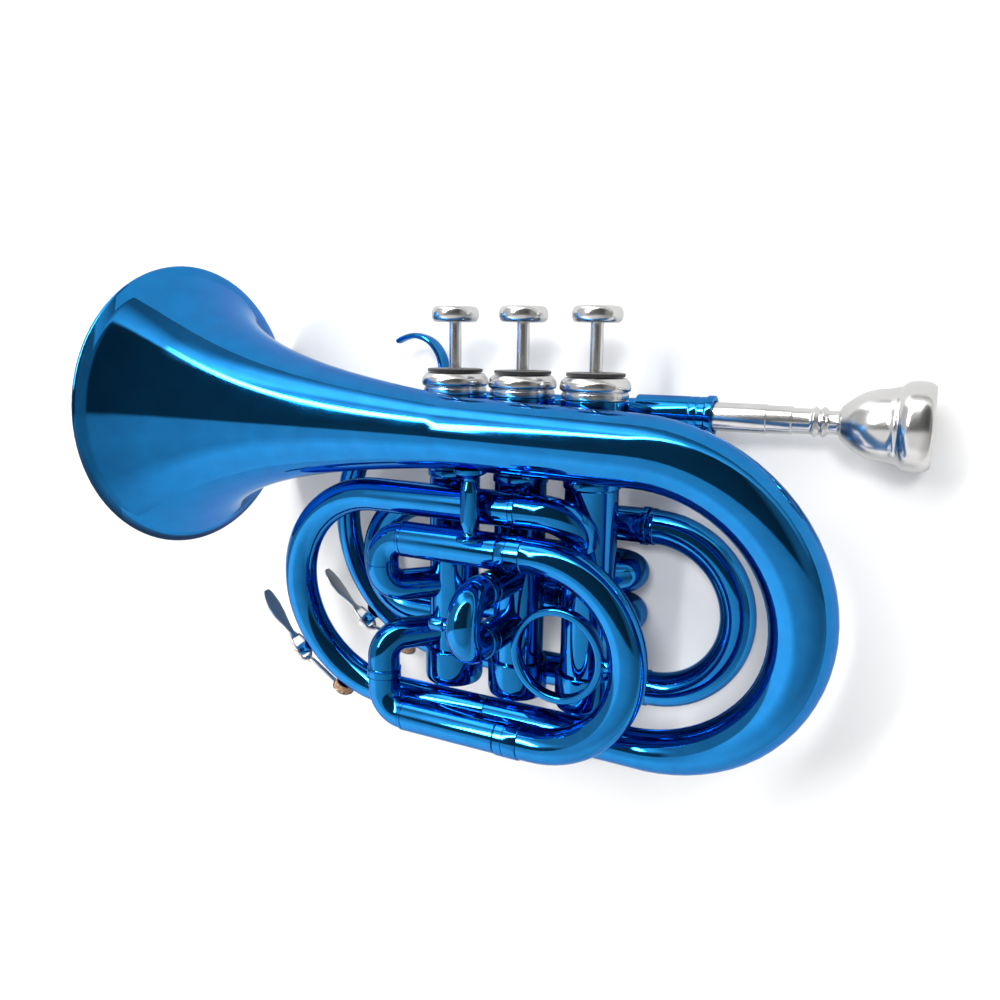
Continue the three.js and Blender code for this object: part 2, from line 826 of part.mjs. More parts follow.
function drilled(route, loop, corkAngle) {
  const { nipple, bore } = drain(loop.centre, loop.radius, loop.tube, corkAngle, loop.plane);
  return pipe(route).add(nipple.subtract(airIn(route))).subtract(bore);
}

const leadpipeLoop = {
  centre: lowPoint(
    frontLoopX, (leadpipeDrop + slideLowerDrop) / 2, (leadpipeHeight - lowLayerDepth) / 2,
  ),
  radius: frontLoopRadius,
  tube: leadpipeRadius,
  plane: new THREE.Vector3(
    0, slideLowerDrop - leadpipeDrop, lowLayerDepth + leadpipeHeight,
  ).normalize(),
};

const tailLoop = {
  centre: new THREE.Vector3(
    tailLoopX, -(tailDrop + bottomRunDrop) / 2, (tailHeight + bottomRunHeight) / 2,
  ),
  radius: Math.hypot(bottomRunDrop - tailDrop, tailHeight - bottomRunHeight) / 2,
  tube: tailRadius,
  plane: new THREE.Vector3(0, bottomRunDrop - tailDrop, tailHeight - bottomRunHeight).normalize(),
};

function outerSleeve(start, drop) {
  const end = rearCrookX - seatGap;
  const route = new Route(lowPoint(start, drop, -lowLayerDepth), X, sleeveRadius, sleeveBore)
    .straight(end - start - sleeveEndBeadLength)
    .shoulder(sleeveRadius + sleeveEndBead)
    .straight(sleeveEndBeadLength - shoulderLength);
  return pipe(route);
}

// A crook with its inner legs: leg, ferrule, bow, ferrule, leg.
function crook(start, heading, insert, visible, ferrule, radius, toward, slim = 0) {
  const leg = innerLegRadius - slim;
  const bow = crookRadius - slim;
  const route = new Route(start, heading, leg, leg - tubeWall)
    .straight(insert)
    .shoulder(bow + ferruleProud)
    .straight(ferrule - shoulderLength)
    .shoulder(bow);
  if (visible > 0) route.straight(visible);
  route.bend(radius, halfTurn, toward);
  if (visible > 0) route.straight(visible);
  return route
    .shoulder(bow + ferruleProud)
    .straight(ferrule - shoulderLength)
    .shoulder(leg)
    .straight(insert);
}

function tuningCrook() {
  const radius = (slideLowerDrop - slideUpperDrop) / 2;
  const start = rearCrookX - mainLegInsert;
  const route = crook(
    lowPoint(start, slideUpperDrop, -lowLayerDepth), X, mainLegInsert, 0,
    ferruleBand, radius, minusY,
  );
  return pipe(route);
}

function entryLoop() {
  const down = new THREE.Vector3(0, slideUpperDrop - entryLoopDrop, entryLoopLift);
  const start = upperSleeveStart + sleeveSeat;
  const elbowX = valveAxis(3) - entryElbowStart;
  const seat = lowPoint(start, slideUpperDrop, -lowLayerDepth);
  const route = new Route(seat, minusX, innerLegRadius, tubeBore)
    .straight(sleeveSeat + seatGap)
    .shoulder(crookRadius)
    .straight(start - sleeveSeat - seatGap - shoulderLength - entryLoopX)
    .bend(entryLoopRadius, halfTurn, down)
    .straight(elbowX - entryLoopX)
    .bend(entryElbowRadius, quarterTurn, entryRise)
    .straight(entryLoopDepth - entryElbowRadius);
  return pipe(route).subtract(casingSpace(valveAxis(3)));
}

// The bell: flare, tapered tube, bow and bottom run in one piece, with a rolled rim.
const bellHeading = new THREE.Vector3(1, -bellSlope, 0).normalize();
const bowTopDrop = bellRimDrop + bellSlope * (bowStartX - bellRimX);
const bowDown = new THREE.Vector3(0, -(bottomRunDrop - bowTopDrop), bottomRunHeight - bellHeight);

// The rolled rim: how far along and how far out each of its corners lies, as shares of its radius.
const beadOutlineShares = [[-1, 0.3], [-0.6, 0.85], [0, 1], [0.6, 0.85]];

function bellRadius(distance) {
  const reach = bellThroatX - bellRimX;
  const shrink = bellFlareShift / (distance + bellFlareShift);
  const endShrink = bellFlareShift / (reach + bellFlareShift);
  const share = (shrink - endShrink) / (1 - endShrink);
  return bellThroatRadius + (bellRimRadius - bellThroatRadius) * share;
}

function bellRoute() {
  const rimCentre = new THREE.Vector3(bellRimX, -bellRimDrop, bellHeight);
  const start = rimCentre.clone().addScaledVector(bellHeading, -bellBeadRadius);
  const reach = bellThroatX - bellRimX;
  const slopeAt = (distance) => (bellRadius(distance) - bellRadius(distance + tubeWall)) / tubeWall;
  const wallAt = (distance) => bellWall * Math.hypot(1, slopeAt(distance));
  const [[, swellShare], ...beadShares] = beadOutlineShares;
  const swell = bellBeadRadius * swellShare;
  const route = new Route(start, bellHeading, bellRimRadius + swell, bellRimRadius - swell);
  let gone = -bellBeadRadius;
  for (const [reachShare, outShare] of beadShares) {
    const next = bellBeadRadius * reachShare;
    const out = bellBeadRadius * outShare;
    route.straight(next - gone, bellRimRadius + out, bellRimRadius - out);
    gone = next;
  }
  for (let station = 1; station <= flareStations; station += 1) {
    const next = reach * (station / flareStations) ** 2;
    const outer = bellRadius(next);
    route.straight(next - gone, outer, outer - wallAt(next));
    gone = next;
  }
  const turn = halfTurn - Math.asin(bellSlope);
  return route
    .straight(bowStartX - bellThroatX, bowStartRadius, bowStartRadius - bellWall)
    .bend(bowDown.length() / 2, turn / 2, bowDown, bowSideRadius, bowSideRadius - bellWall);
}

function bell() {
  const route = bellRoute();
  const heading = route.heading.clone();
  const turn = heading.angleTo(minusX);
  const radius = bowDown.length() / 2;
  route.bend(radius, turn, minusX, bottomRunRadius, bottomRunRadius - bellWall);
  const gone = route.place.x - tailJointX;
  route.straight(gone, tailRadius, sleeveBore);
  return pipe(route, bellSides);
}

function tailRoute() {
  const down = new THREE.Vector3(0, bottomRunDrop - tailDrop, tailHeight - bottomRunHeight);
  const start = new THREE.Vector3(tailJointX + sleeveSeat, -bottomRunDrop, bottomRunHeight);
  return new Route(start, minusX, innerLegRadius, tubeBore)
    .straight(sleeveSeat + seatGap)
    .shoulder(tailRadius)
    .straight(start.x - sleeveSeat - seatGap - shoulderLength - tailLoopX)
    .bend(tailLoop.radius, halfTurn, down)
    .straight(tailSleeveX - tailLoopX);
}

function tailKnuckle() {
  const start = new THREE.Vector3(tailSleeveX + seatGap, -tailDrop, tailHeight);
  const fall = new THREE.Vector3(...tailFallShares);
  const route = new Route(start, X, tailRadius + ferruleProud, tubeBore)
    .straight(ferruleBand)
    .shoulder(tailRadius)
    .straight(tailKnuckleStraight)
    .bend(tailKnuckleRadius, quarterTurn, fall)
    .straight(tailKnuckleRadius);
  return pipe(route).subtract(casingSpace(valveAxis(1)));
}

// Third slide: outer tubes, elbows to the casing, and the crook with its ring.
function thirdTube(drop) {
  const start = new THREE.Vector3(thirdSleeveStart + seatGap, -drop, thirdHeight);
  const route = new Route(start, X, sleeveRadius, sleeveBore)
    .straight(thirdSleeveEnd - thirdSleeveStart - seatGap);
  return pipe(route, straightTubeSides);
}

function thirdElbow(drop, portDrop) {
  const away = new THREE.Vector3(0, Math.sign(drop - portDrop), 0);
  const start = new THREE.Vector3(thirdSleeveStart, -drop, thirdHeight);
  const rise = Math.abs(drop - portDrop) - thirdElbowRadius - thirdTurnRadius;
  const inward = thirdPortDirection.clone().negate();
  const reach = Math.hypot(start.x - thirdElbowRadius - valveAxis(3), thirdHeight);
  const route = new Route(start, minusX, sleeveRadius - ferruleProud, tubeBore)
    .bend(thirdElbowRadius, quarterTurn, away);
  if (rise > 0) route.straight(rise);
  route
    .bend(thirdTurnRadius, quarterTurn, inward)
    .straight(reach - thirdTurnRadius);
  return pipe(route).subtract(casingSpace(valveAxis(3)));
}

function thirdCrook() {
  const ferruleStart = thirdSleeveEnd + seatGap;
  const start = new THREE.Vector3(ferruleStart - thirdLegInsert, -thirdUpperDrop, thirdHeight);
  const visible = thirdCrookX - ferruleStart - ferruleLength - shoulderLength;
  const route = crook(start, X, thirdLegInsert, visible, ferruleLength, thirdBowRadius, minusY);
  const ringEdge = new THREE.Vector3(ringCentreX + ringRadius, -ringCentreDrop, thirdHeight);
  const crookMiddle = new THREE.Vector3(
    thirdCrookX + thirdBowRadius, -(thirdUpperDrop + thirdLowerDrop) / 2, thirdHeight,
  );
  const post = rod(ringEdge.clone().addScaledVector(X, seatGap), crookMiddle, ringPostRadius)
    .subtract(airIn(route));
  return pipe(route).add(post);
}

function fingerRing() {
  const inner = ringRadius - ringWire;
  const half = ringDepth / 2;
  const soft = ringWire / 4;
  const solid = turnedRing([
    [inner, -half + soft], [inner + soft, -half],
    [ringRadius - soft, -half], [ringRadius, -half + soft],
    [ringRadius, half - soft], [ringRadius - soft, half],
    [inner + soft, half], [inner, half - soft],
  ], bellSides);
  return solid.rotate([90, 0, 0]).translate([ringCentreX, -ringCentreDrop, thirdHeight]);
}

// Second slide: straight out of the casing towards the player's left.
function secondSleeve(drop) {
  const start = new THREE.Vector3(valveAxis(2), -drop, 0);
  const bore = sleeveBore - secondSlideSlim;
  const route = new Route(start, Z, secondLegRadius, bore).straight(secondSleeveEnd);
  return pipe(route).subtract(casingSpace(valveAxis(2)));
}

function secondCrook() {
  const radius = (secondLowerDrop - secondUpperDrop) / 2;
  const shoulder = secondSleeveEnd + seatGap;
  const start = new THREE.Vector3(valveAxis(2), -secondUpperDrop, shoulder - secondLegInsert);
  const visible = secondCrookStart - shoulder - ferruleBand - shoulderLength;
  const route = crook(
    start, Z, secondLegInsert, visible, ferruleBand, radius, minusY, secondSlideSlim,
  );
  const middle = new THREE.Vector3(
    valveAxis(2), -(secondUpperDrop + secondLowerDrop) / 2, secondCrookStart + radius,
  );
  const neckEnd = middle.clone().addScaledVector(X, -crookRadius - secondKnobNeck);
  const knobEnd = neckEnd.clone().addScaledVector(X, -secondKnobLength);
  const knob = joined(
    rod(middle, neckEnd, secondKnobNeck),
    rod(neckEnd, knobEnd, secondKnobRadius),
  );
  return pipe(route).add(knob.subtract(airIn(route)));
}

// First slide: out of the casing away from the viewer, round, and forward behind the valves.
function firstSleeve(drop) {
  const turn = Math.PI - radians(firstPortAngle);
  const fall = firstElbowRadius * (1 + Math.cos(radians(firstPortAngle)));
  const reach = (firstDepth - fall) / Math.sin(radians(firstPortAngle));
  const start = new THREE.Vector3(valveAxis(1), -drop, 0);
  const route = new Route(start, firstPortDirection, sleeveRadius - slideGap / 2, sleeveBore)
    .straight(reach)
    .bend(firstElbowRadius, turn, minusX);
  const run = route.place.x - firstSleeveEndX;
  route.straight(run);
  return pipe(route).subtract(casingSpace(valveAxis(1)));
}

function firstCrook() {
  const radius = (firstLowerDrop - firstUpperDrop) / 2;
  const shoulder = firstSleeveEndX - seatGap;
  const start = new THREE.Vector3(shoulder + firstLegInsert, -firstUpperDrop, -firstDepth);
  const visible = shoulder - firstCrookX - ferruleBand - shoulderLength;
  const route = crook(
    start, minusX, firstLegInsert, visible, ferruleBand, radius, minusY,
  );
  return pipe(route);
}

// From the shank's tip out along the outside, round the rim and back along the bore.
function mouthpiece() {
  const tip = receiverStart + leadpipeSeat + shankGap;
  const end = receiverEnd + mouthpieceReach;
  const rimStart = end - mouthpieceRimLength;
  const shankStep = receiverEnd + mouthpieceReach * shankStepShare;
  const sleeveStep = receiverEnd + mouthpieceReach * sleeveStepShare;
  const neck = receiverEnd + mouthpieceReach * neckShare;
  const bead = receiverEnd + mouthpieceReach * beadShare;
  const cupStart = receiverEnd + mouthpieceReach * cupStartShare;
  const bowl = bowlOutlineShares.map(([reachShare, radiusShare]) => [
    cupOuterRadius * radiusShare, THREE.MathUtils.lerp(cupStart, rimStart, reachShare),
  ]);
  const rimInner = cupRadius;
  const soft = mouthpieceRimEdge * Math.SQRT1_2;
  return turnedRing([
    [mouthpieceBackbore, tip],
    [shankTipRadius, tip],
    [shankRadius, receiverEnd],
    [shankRadius, shankStep],
    [shankStepRadius, shankStep],
    [shankStepRadius, sleeveStep],
    [sleeveStepRadius, sleeveStep],
    [sleeveStepRadius, neck],
    [beadRadius, neck + beadWidth / 2],
    [neckRadius, bead],
    [beadRadius, bead + beadWidth / 2],
    [neckRadius, bead + beadWidth],
    ...bowl,
    [cupOuterRadius, rimStart],
    [mouthpieceRimRadius, rimStart + beadWidth],
    [mouthpieceRimRadius, end - mouthpieceRimEdge],
    [mouthpieceRimRadius - mouthpieceRimEdge + soft, end - mouthpieceRimEdge + soft],
    [mouthpieceRimRadius - mouthpieceRimEdge, end],
    [rimInner + mouthpieceRimEdge / 2, end],
    [rimInner, end - mouthpieceRimEdge / 2],
    [cupFloorRadius, end - cupDepth],
    [mouthpieceThroat, end - cupDepth - cupFloorRadius / 2],
  ], bellSides);
}

function turnToX(solid) {
  return solid.rotate([0, 0, -90]).translate([0, -leadpipeDrop, leadpipeHeight]);
}

// Barrel post between the bell and the third slide's upper tube.
function bellBrace() {
  const axisDrop = bellRimDrop + bellSlope * (braceX - bellRimX);
  const bellAt = bellRadius(braceX - bellRimX);
  const lean = braceHeight - bellHeight;
  const slideLean = braceHeight - thirdHeight;
  const top = -axisDrop - Math.sqrt(bellAt ** 2 - lean ** 2);
  const foot = -thirdUpperDrop + Math.sqrt(sleeveRadius ** 2 - slideLean ** 2);
  const middle = (top + foot) / 2;
  const quarter = (top - foot) / 4;
  const post = turned([
    [0, foot - cutOverrun],
    [braceFlangeRadius, foot - cutOverrun],
    [braceFlangeRadius, foot + braceFlangeThickness],
    [braceNeckRadius, foot + 2 * braceFlangeThickness],
    [braceBarrelRadius, middle - quarter],
    [braceBarrelRadius, middle + quarter],
    [braceNeckRadius, top - 2 * braceFlangeThickness],
    [braceFlangeRadius, top - braceFlangeThickness],
    [braceFlangeRadius, top + cutOverrun],
    [0, top + cutOverrun],
  ], smallSides);
  const placed = post.translate([braceX, 0, braceHeight]);
  const bellSpace = spaceOf(bellRoute(), seatGap, bellSides);
  const slideSpace = rod(
    new THREE.Vector3(braceX - 2 * braceFlangeRadius, -thirdUpperDrop, thirdHeight),
    new THREE.Vector3(braceX + 2 * braceFlangeRadius, -thirdUpperDrop, thirdHeight),
    sleeveRadius + seatGap, turnedSides,
  );
  return placed.subtract(bellSpace).subtract(slideSpace);
}

function fingerHook() {
  const base = -leadpipeDrop + leadpipeRadius + seatGap;
  const outline = new THREE.Shape();
  const topX = (hookBaseX + hookTipX) / 2;
  const inner = hookThickness;
  outline.moveTo(hookBaseX + inner, base);
  outline.bezierCurveTo(
    hookBaseX + inner, hookTopRise - inner, (topX + hookBaseX) / 2, hookTopRise + inner / 2,
    topX, hookTopRise,
  );
  outline.quadraticCurveTo((topX + hookTipX) / 2, hookTopRise - inner / 4, hookTipX, hookTipRise);
  outline.lineTo(hookTipX + inner / 2, hookTipRise - inner / 2);
  outline.quadraticCurveTo(
    (topX + hookTipX) / 2, hookTopRise - inner - inner / 4, topX, hookTopRise - inner,
  );
  outline.bezierCurveTo(
    (topX + hookBaseX) / 2, hookTopRise - inner, hookBaseX - inner / 4, hookTopRise - 2 * inner,
    hookBaseX - inner / 4, base,
  );
  const geometry = new THREE.ExtrudeGeometry(outline, {
    depth: hookWidth, bevelEnabled: false, curveSegments: 6,
  });
  geometry.translate(0, 0, leadpipeHeight - hookWidth / 2);
  return toSolid(geometry);
}

// A water key on the outside of a front loop. Its frame has the pivot at the origin, X along the
// tube towards the cork, Y away from the loop's centre, and Z along the pin.
function waterKey(prefix, loop, keyAngle, corkAngle) {
  const out = outward(keyAngle, loop.plane);
  const along = outward(keyAngle + 90, loop.plane);
  const normal = along.clone().cross(out);
  const pivotRadius = loop.radius + loop.tube + keyPostRise;
  const pivot = loop.centre.clone().addScaledVector(out, pivotRadius);
  const frame = new THREE.Matrix4().makeBasis(along, out, normal).setPosition(pivot);
  const group = new THREE.Group();
  group.applyMatrix4(frame);

  const tubeSpace = torusSpace(loop, seatGap).transform(frame.clone().invert().elements);
  const postFoot = -keyPostRise - keyFootThickness;
  const forkStart = keyPostRadius + seatGap;
  const forkEnd = forkStart + keyForkThickness;
  const post = joined(
    rod(new THREE.Vector3(0, postFoot, 0), new THREE.Vector3(0, keyPostTop, 0), keyPostRadius),
    rod(
      new THREE.Vector3(0, postFoot, 0),
      new THREE.Vector3(0, -keyPostRise + keyFootThickness, 0), keyFootRadius,
    ),
    rod(new THREE.Vector3(0, 0, -forkEnd), new THREE.Vector3(0, 0, forkEnd), keyPinRadius),
  ).subtract(tubeSpace);

  // Where the cork sits, seen from the pivot.
  const swing = radians(corkAngle - keyAngle);
  const mouthRadius = loop.radius + loop.tube + keyNippleRise + seatGap;
  const seat = new THREE.Vector3(
    mouthRadius * Math.sin(swing), mouthRadius * Math.cos(swing) - pivotRadius, 0,
  );
  const corkOut = new THREE.Vector3(Math.sin(swing), Math.cos(swing), 0);
  const corkTop = seat.clone().addScaledVector(corkOut, keyCorkThickness);
  const cupTop = corkTop.clone().addScaledVector(corkOut, seatGap + keyCupWall);
  const cork = rod(seat, corkTop, keyCorkRadius);
  const cup = rod(
    corkTop.clone().addScaledVector(corkOut, -keyCupDepth), cupTop,
    keyCorkRadius + seatGap + keyCupWall,
  ).subtract(rod(
    corkTop.clone().addScaledVector(corkOut, -keyCupDepth - cutOverrun),
    corkTop.clone().addScaledVector(corkOut, seatGap), keyCorkRadius + seatGap,
  ));

  const hole = rod(
    new THREE.Vector3(0, 0, -forkEnd - cutOverrun), new THREE.Vector3(0, 0, forkEnd + cutOverrun),
    keyPinRadius + runningGap,
  );
  const postSpace = rod(
    new THREE.Vector3(0, -keyPostRise, 0), new THREE.Vector3(0, keyPostTop + cutOverrun, 0),
    keyPostRadius + seatGap,
  );
  const forkMiddle = -keyPaddleStart / 2;
  const fork = joined(
    plate(forkMiddle, keyPaddleStart + 2 * keyForkRadius, 2 * keyForkRadius, 2 * forkEnd),
    plate(
      keyForkRadius + keyArmThickness, 2 * keyArmThickness + 2 * keyForkRadius,
      keyArmHeight, 2 * forkEnd,
    ),
  ).subtract(postBox(forkStart)).subtract(postSpace).subtract(hole);
  const armEnd = cupTop.clone().addScaledVector(corkOut, keyArmThickness / 4);
  const armStart = new THREE.Vector3(2 * keyForkRadius + keyArmThickness, 0, 0);
  const arm = rod(armStart, armEnd, keyArmThickness / 2 + keyCupWall / 2)
    .subtract(rod(seat, corkTop.clone().addScaledVector(corkOut, seatGap), keyCorkRadius + seatGap));
  const paddle = paddleBlade();
  const lever = joined(fork, arm, cup, paddle);

  group.add(
    piece(`${prefix}_key_saddle`, post, blueLacquer),
    piece(`${prefix}_key_lever`, lever, silverPlate),
    piece(`${prefix}_key_cork`, cork, naturalCork),
  );
  return group;
}

// A rectangular bar of the lever, centred on the pin's height.
function plate(middleX, length, height, width) {
  return toSolid(new THREE.BoxGeometry(length, height, width).translate(middleX, 0, 0));
}

// The slot between the two cheeks of the fork.
function postBox(halfWidth) {
  const reach = keyForkRadius + keyPostRadius;
  return toSolid(new THREE.BoxGeometry(2 * reach, 2 * keyPaddleStart, 2 * halfWidth));
}

// Oval touch piece, splayed away from the tube.
function paddleBlade() {
  const blade = new THREE.Shape().absellipse(
    0, 0, keyPaddleLength / 2, keyPaddleWidth / 2, 0, 2 * Math.PI,
  );
  const geometry = new THREE.ExtrudeGeometry(blade, {
    depth: keyPaddleThickness, bevelEnabled: false, curveSegments: smallSides / 2 + 2,
  });
  geometry.rotateX(-quarterTurn);
  geometry.translate(-keyPaddleLength / 2, -keyPaddleThickness / 2, 0);
  geometry.rotateZ(radians(-keyPaddleSplay));
  geometry.translate(-keyPaddleStart + keyForkRadius, 0, 0);
  return toSolid(geometry);
}

// The space that a front loop takes, with a gap, in the drawing frame.
function torusSpace(loop, gap) {
  const geometry = new THREE.TorusGeometry(loop.radius, loop.tube + gap, tubeSides, 2 * bellSides);
  const normal = X.clone().cross(loop.plane);
  const basis = new THREE.Matrix4().makeBasis(X, loop.plane, normal).setPosition(loop.centre);
  geometry.applyMatrix4(basis);
  return toSolid(geometry);
}

const instrument = new THREE.Group();
instrument.add(valve(1), valve(2), valve(3));
instrument.add(
  knuckle('knuckle_1_2', knuckle12Drop, 2, 1),
  knuckle('knuckle_2_3', knuckle23Drop, 3, 2),
  piece('mouthpiece', turnToX(mouthpiece()), silverPlate),
  piece('mouthpiece_receiver', turnToX(receiver()), blueLacquer),
  piece('leadpipe', leadpipe(), blueLacquer),
  piece('leadpipe_bend', drilled(leadpipeBend(), leadpipeLoop, farCorkAngle), blueLacquer),
  piece('upper_slide_sleeve', outerSleeve(upperSleeveStart, slideUpperDrop), blueLacquer),
  piece('lower_slide_sleeve', outerSleeve(lowerSleeveStart, slideLowerDrop), blueLacquer),
  piece('tuning_crook', tuningCrook(), blueLacquer),
  piece('valve_3_entry_loop', entryLoop(), blueLacquer),
  piece('bell', bell(), blueLacquer),
  piece('bell_tail_loop', drilled(tailRoute(), tailLoop, nearCorkAngle), blueLacquer),
  piece('bell_tail_knuckle', tailKnuckle(), blueLacquer),
  piece('bell_brace', bellBrace(), blueLacquer),
  piece('finger_hook', fingerHook(), blueLacquer),
  piece('third_upper_tube', thirdTube(thirdUpperDrop), blueLacquer),
  piece('third_lower_tube', thirdTube(thirdLowerDrop), blueLacquer),
  piece('third_upper_elbow', thirdElbow(thirdUpperDrop, thirdUpperPortDrop), blueLacquer),
  piece('third_lower_elbow', thirdElbow(thirdLowerDrop, thirdLowerPortDrop), blueLacquer),
  piece('third_crook', thirdCrook(), blueLacquer),
  piece('finger_ring', fingerRing(), blueLacquer),
  piece('second_upper_leg', secondSleeve(secondUpperDrop), blueLacquer),
  piece('second_lower_leg', secondSleeve(secondLowerDrop), blueLacquer),
  piece('second_crook', secondCrook(), blueLacquer),
  piece('first_upper_leg', firstSleeve(firstUpperDrop), blueLacquer),
  piece('first_lower_leg', firstSleeve(firstLowerDrop), blueLacquer),
  piece('first_crook', firstCrook(), blueLacquer),
  waterKey('near', tailLoop, nearKeyAngle, nearCorkAngle),
  waterKey('far', leadpipeLoop, farKeyAngle, farCorkAngle),
);

// The horn stands on its resting plane, centred over the origin.
const part = new THREE.Group();
part.add(instrument);
part.updateMatrixWorld(true);
const box = new THREE.Box3().setFromObject(part, true);
const centre = box.getCenter(new THREE.Vector3());
instrument.position.set(-centre.x, -centre.y, -box.min.z);

export default part;
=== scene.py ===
# %% [markdown]
# # A pocket trumpet in blue lacquer
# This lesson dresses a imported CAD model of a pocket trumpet. The CAD holds every piece at its real
# size but with few facets. Here the tubes are swept again with many sides, the turned pieces get
# the small rounded edges that catch the light, and each finish is built from shader nodes.

import math
from functools import partial

import bpy
import bmesh
from mathutils import Matrix, Vector


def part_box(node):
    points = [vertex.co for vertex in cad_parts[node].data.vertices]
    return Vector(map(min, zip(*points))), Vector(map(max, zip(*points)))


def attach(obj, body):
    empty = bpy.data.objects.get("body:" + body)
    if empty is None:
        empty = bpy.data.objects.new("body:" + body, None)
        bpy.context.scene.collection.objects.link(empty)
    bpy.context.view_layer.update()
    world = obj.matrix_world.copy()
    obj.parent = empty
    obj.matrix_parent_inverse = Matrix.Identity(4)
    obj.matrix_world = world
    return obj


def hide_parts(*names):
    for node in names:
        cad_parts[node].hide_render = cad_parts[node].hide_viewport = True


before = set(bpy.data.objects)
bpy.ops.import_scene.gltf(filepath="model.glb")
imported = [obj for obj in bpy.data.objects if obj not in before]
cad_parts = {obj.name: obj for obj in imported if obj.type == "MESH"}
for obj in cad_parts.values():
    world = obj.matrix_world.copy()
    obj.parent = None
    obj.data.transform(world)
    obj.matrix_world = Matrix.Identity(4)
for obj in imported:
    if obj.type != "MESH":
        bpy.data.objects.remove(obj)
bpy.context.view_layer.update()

# %% [markdown]
# The drawing is in millimetres, counted from the axis of the middle valve. The middle valve's
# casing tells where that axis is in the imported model, so every new piece lands on its CAD twin.

# %% Where the drawing's origin is
CASING_TOP = -3.3

casing_low, casing_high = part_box("casing_2")
origin = Vector((
    (casing_low.x + casing_high.x) / 2,
    casing_high.y - CASING_TOP / 1000,
    (casing_low.z + casing_high.z) / 2,
))
print("drawing origin in mm:", [round(value * 1000, 2) for value in origin])

X, Y, Z = Vector((1, 0, 0)), Vector((0, 1, 0)), Vector((0, 0, 1))


def in_metres(point):
    """A drawing point in millimetres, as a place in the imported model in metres."""
    return origin + Vector(point) / 1000


# %% [markdown]
# A mesh from plain lists of points and faces is the base of every piece. Shading turns sharp only
# where two faces meet at more than 35 degrees, so a tube looks round and its end stays crisp.

# %% Helpers that make a mesh object
SHARP_ANGLE = math.radians(35)


def grid_faces(rows, columns, rows_close=True, columns_close=True):
    """Faces over points listed row by row. Closing joins the last row or column to the first."""
    faces = []
    for row in range(rows if rows_close else rows - 1):
        here, there = row * columns, (row + 1) % rows * columns
        for column in range(columns if columns_close else columns - 1):
            beside = (column + 1) % columns
            faces.append((here + column, here + beside, there + beside, there + column))
    return faces


def make_piece(name, points, faces, material, body, *nodes):
    mesh = bpy.data.meshes.new(name)
    mesh.from_pydata([in_metres(point) for point in points], [], faces)
    tidy = bmesh.new()
    tidy.from_mesh(mesh)
    bmesh.ops.remove_doubles(tidy, verts=tidy.verts, dist=1e-6)
    bmesh.ops.recalc_face_normals(tidy, faces=tidy.faces)
    tidy.to_mesh(mesh)
    tidy.free()
    mesh.shade_smooth()
    mesh.set_sharp_from_angle(angle=SHARP_ANGLE)
    piece = bpy.data.objects.new(name, mesh)
    bpy.context.scene.collection.objects.link(piece)
    mesh.materials.append(material)
    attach(piece, body)
    if nodes:
        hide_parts(*nodes)
    return piece


# %% [markdown]
# ## Finishes
# Colours are written as hex values, as a colour picker gives them. Blender's shaders want linear
# light, so one function converts them.

# %% Colour and node helpers
def colour(hex_value):
    channels = [int(hex_value[at:at + 2], 16) / 255 for at in (0, 2, 4)]
    linear = [c / 12.92 if c <= 0.04045 else ((c + 0.055) / 1.055) ** 2.4 for c in channels]
    return (*linear, 1)


def add_node(tree, kind, settings=None, *in_order, **by_name):
    """Adds one node. Inputs are given in order or by name; a (node, output) pair makes a link."""
    node = tree.nodes.new("ShaderNode" + kind)
    for key, value in (settings or {}).items():
        setattr(node, key, value)
    for key, value in [*enumerate(in_order), *by_name.items()]:
        socket = node.inputs[key if isinstance(key, int) else key.replace("_", " ")]
        if isinstance(value, tuple) and isinstance(value[0], bpy.types.Node):
            tree.links.new(value[0].outputs[value[1]], socket)
        else:
            socket.default_value = value
    return node


def lay_stops(ramp, *stops):
    """Gives a ramp its (position, colour) stops, in rising order."""
    elements = ramp.color_ramp.elements
    for _ in stops[2:]:
        elements.new(0.5)
    for element, (position, tone) in zip(elements, stops):
        element.position, element.color = position, tone


def per_mm(size):
    """Texture scale that makes one feature this many millimetres wide."""
    return 1000 / size


def new_material(name, record_slot):
    material = bpy.data.materials.new(name)
    material.use_nodes = True
    material["record_slot"] = record_slot
    tree = material.node_tree
    tree.nodes.clear()
    add = partial(add_node, tree)
    return material, add, (add("TexCoord"), "Object")


def finish_material(add, shader):
    add("OutputMaterial", Surface=(shader, "BSDF"))


# %% [markdown]
# ** Tinted lacquer over bright nickel plate.** The brass is polished, plated, sprayed with a clear
# blue lacquer and baked. The eye sees a mirror whose reflections are all blue, under a thin clear
# skin that adds a faint white gleam. A metal with a blue colour gives the first, and a weak coat
# gives the second. The specular tint keeps the metal blue at glancing angles too, where the dye is
# seen through its longest path. Sprayed lacquer is never quite flat: a faint wave of about 4 mm
# bends the reflections a little, and handling leaves parts of it very slightly hazy. On the rolled
# bead round the bell's mouth the colour turns dark navy, which is a painted dark reflection.

# %% Blue lacquer
BELL_RIM = Vector((-132, -11.5, 22.9))
BELL_RIM_RADIUS = 52.1
# Where the painted dark reflection lies: on the bead, from about 1 mm inside the rim's radius
# outwards, and no more than 3 to 4 mm back from the mouth.
PAINTED_DARK_BEAD_INNER = BELL_RIM_RADIUS - 1.3, BELL_RIM_RADIUS - 0.9
PAINTED_DARK_BEAD_BACK = BELL_RIM.x + 3, BELL_RIM.x + 4


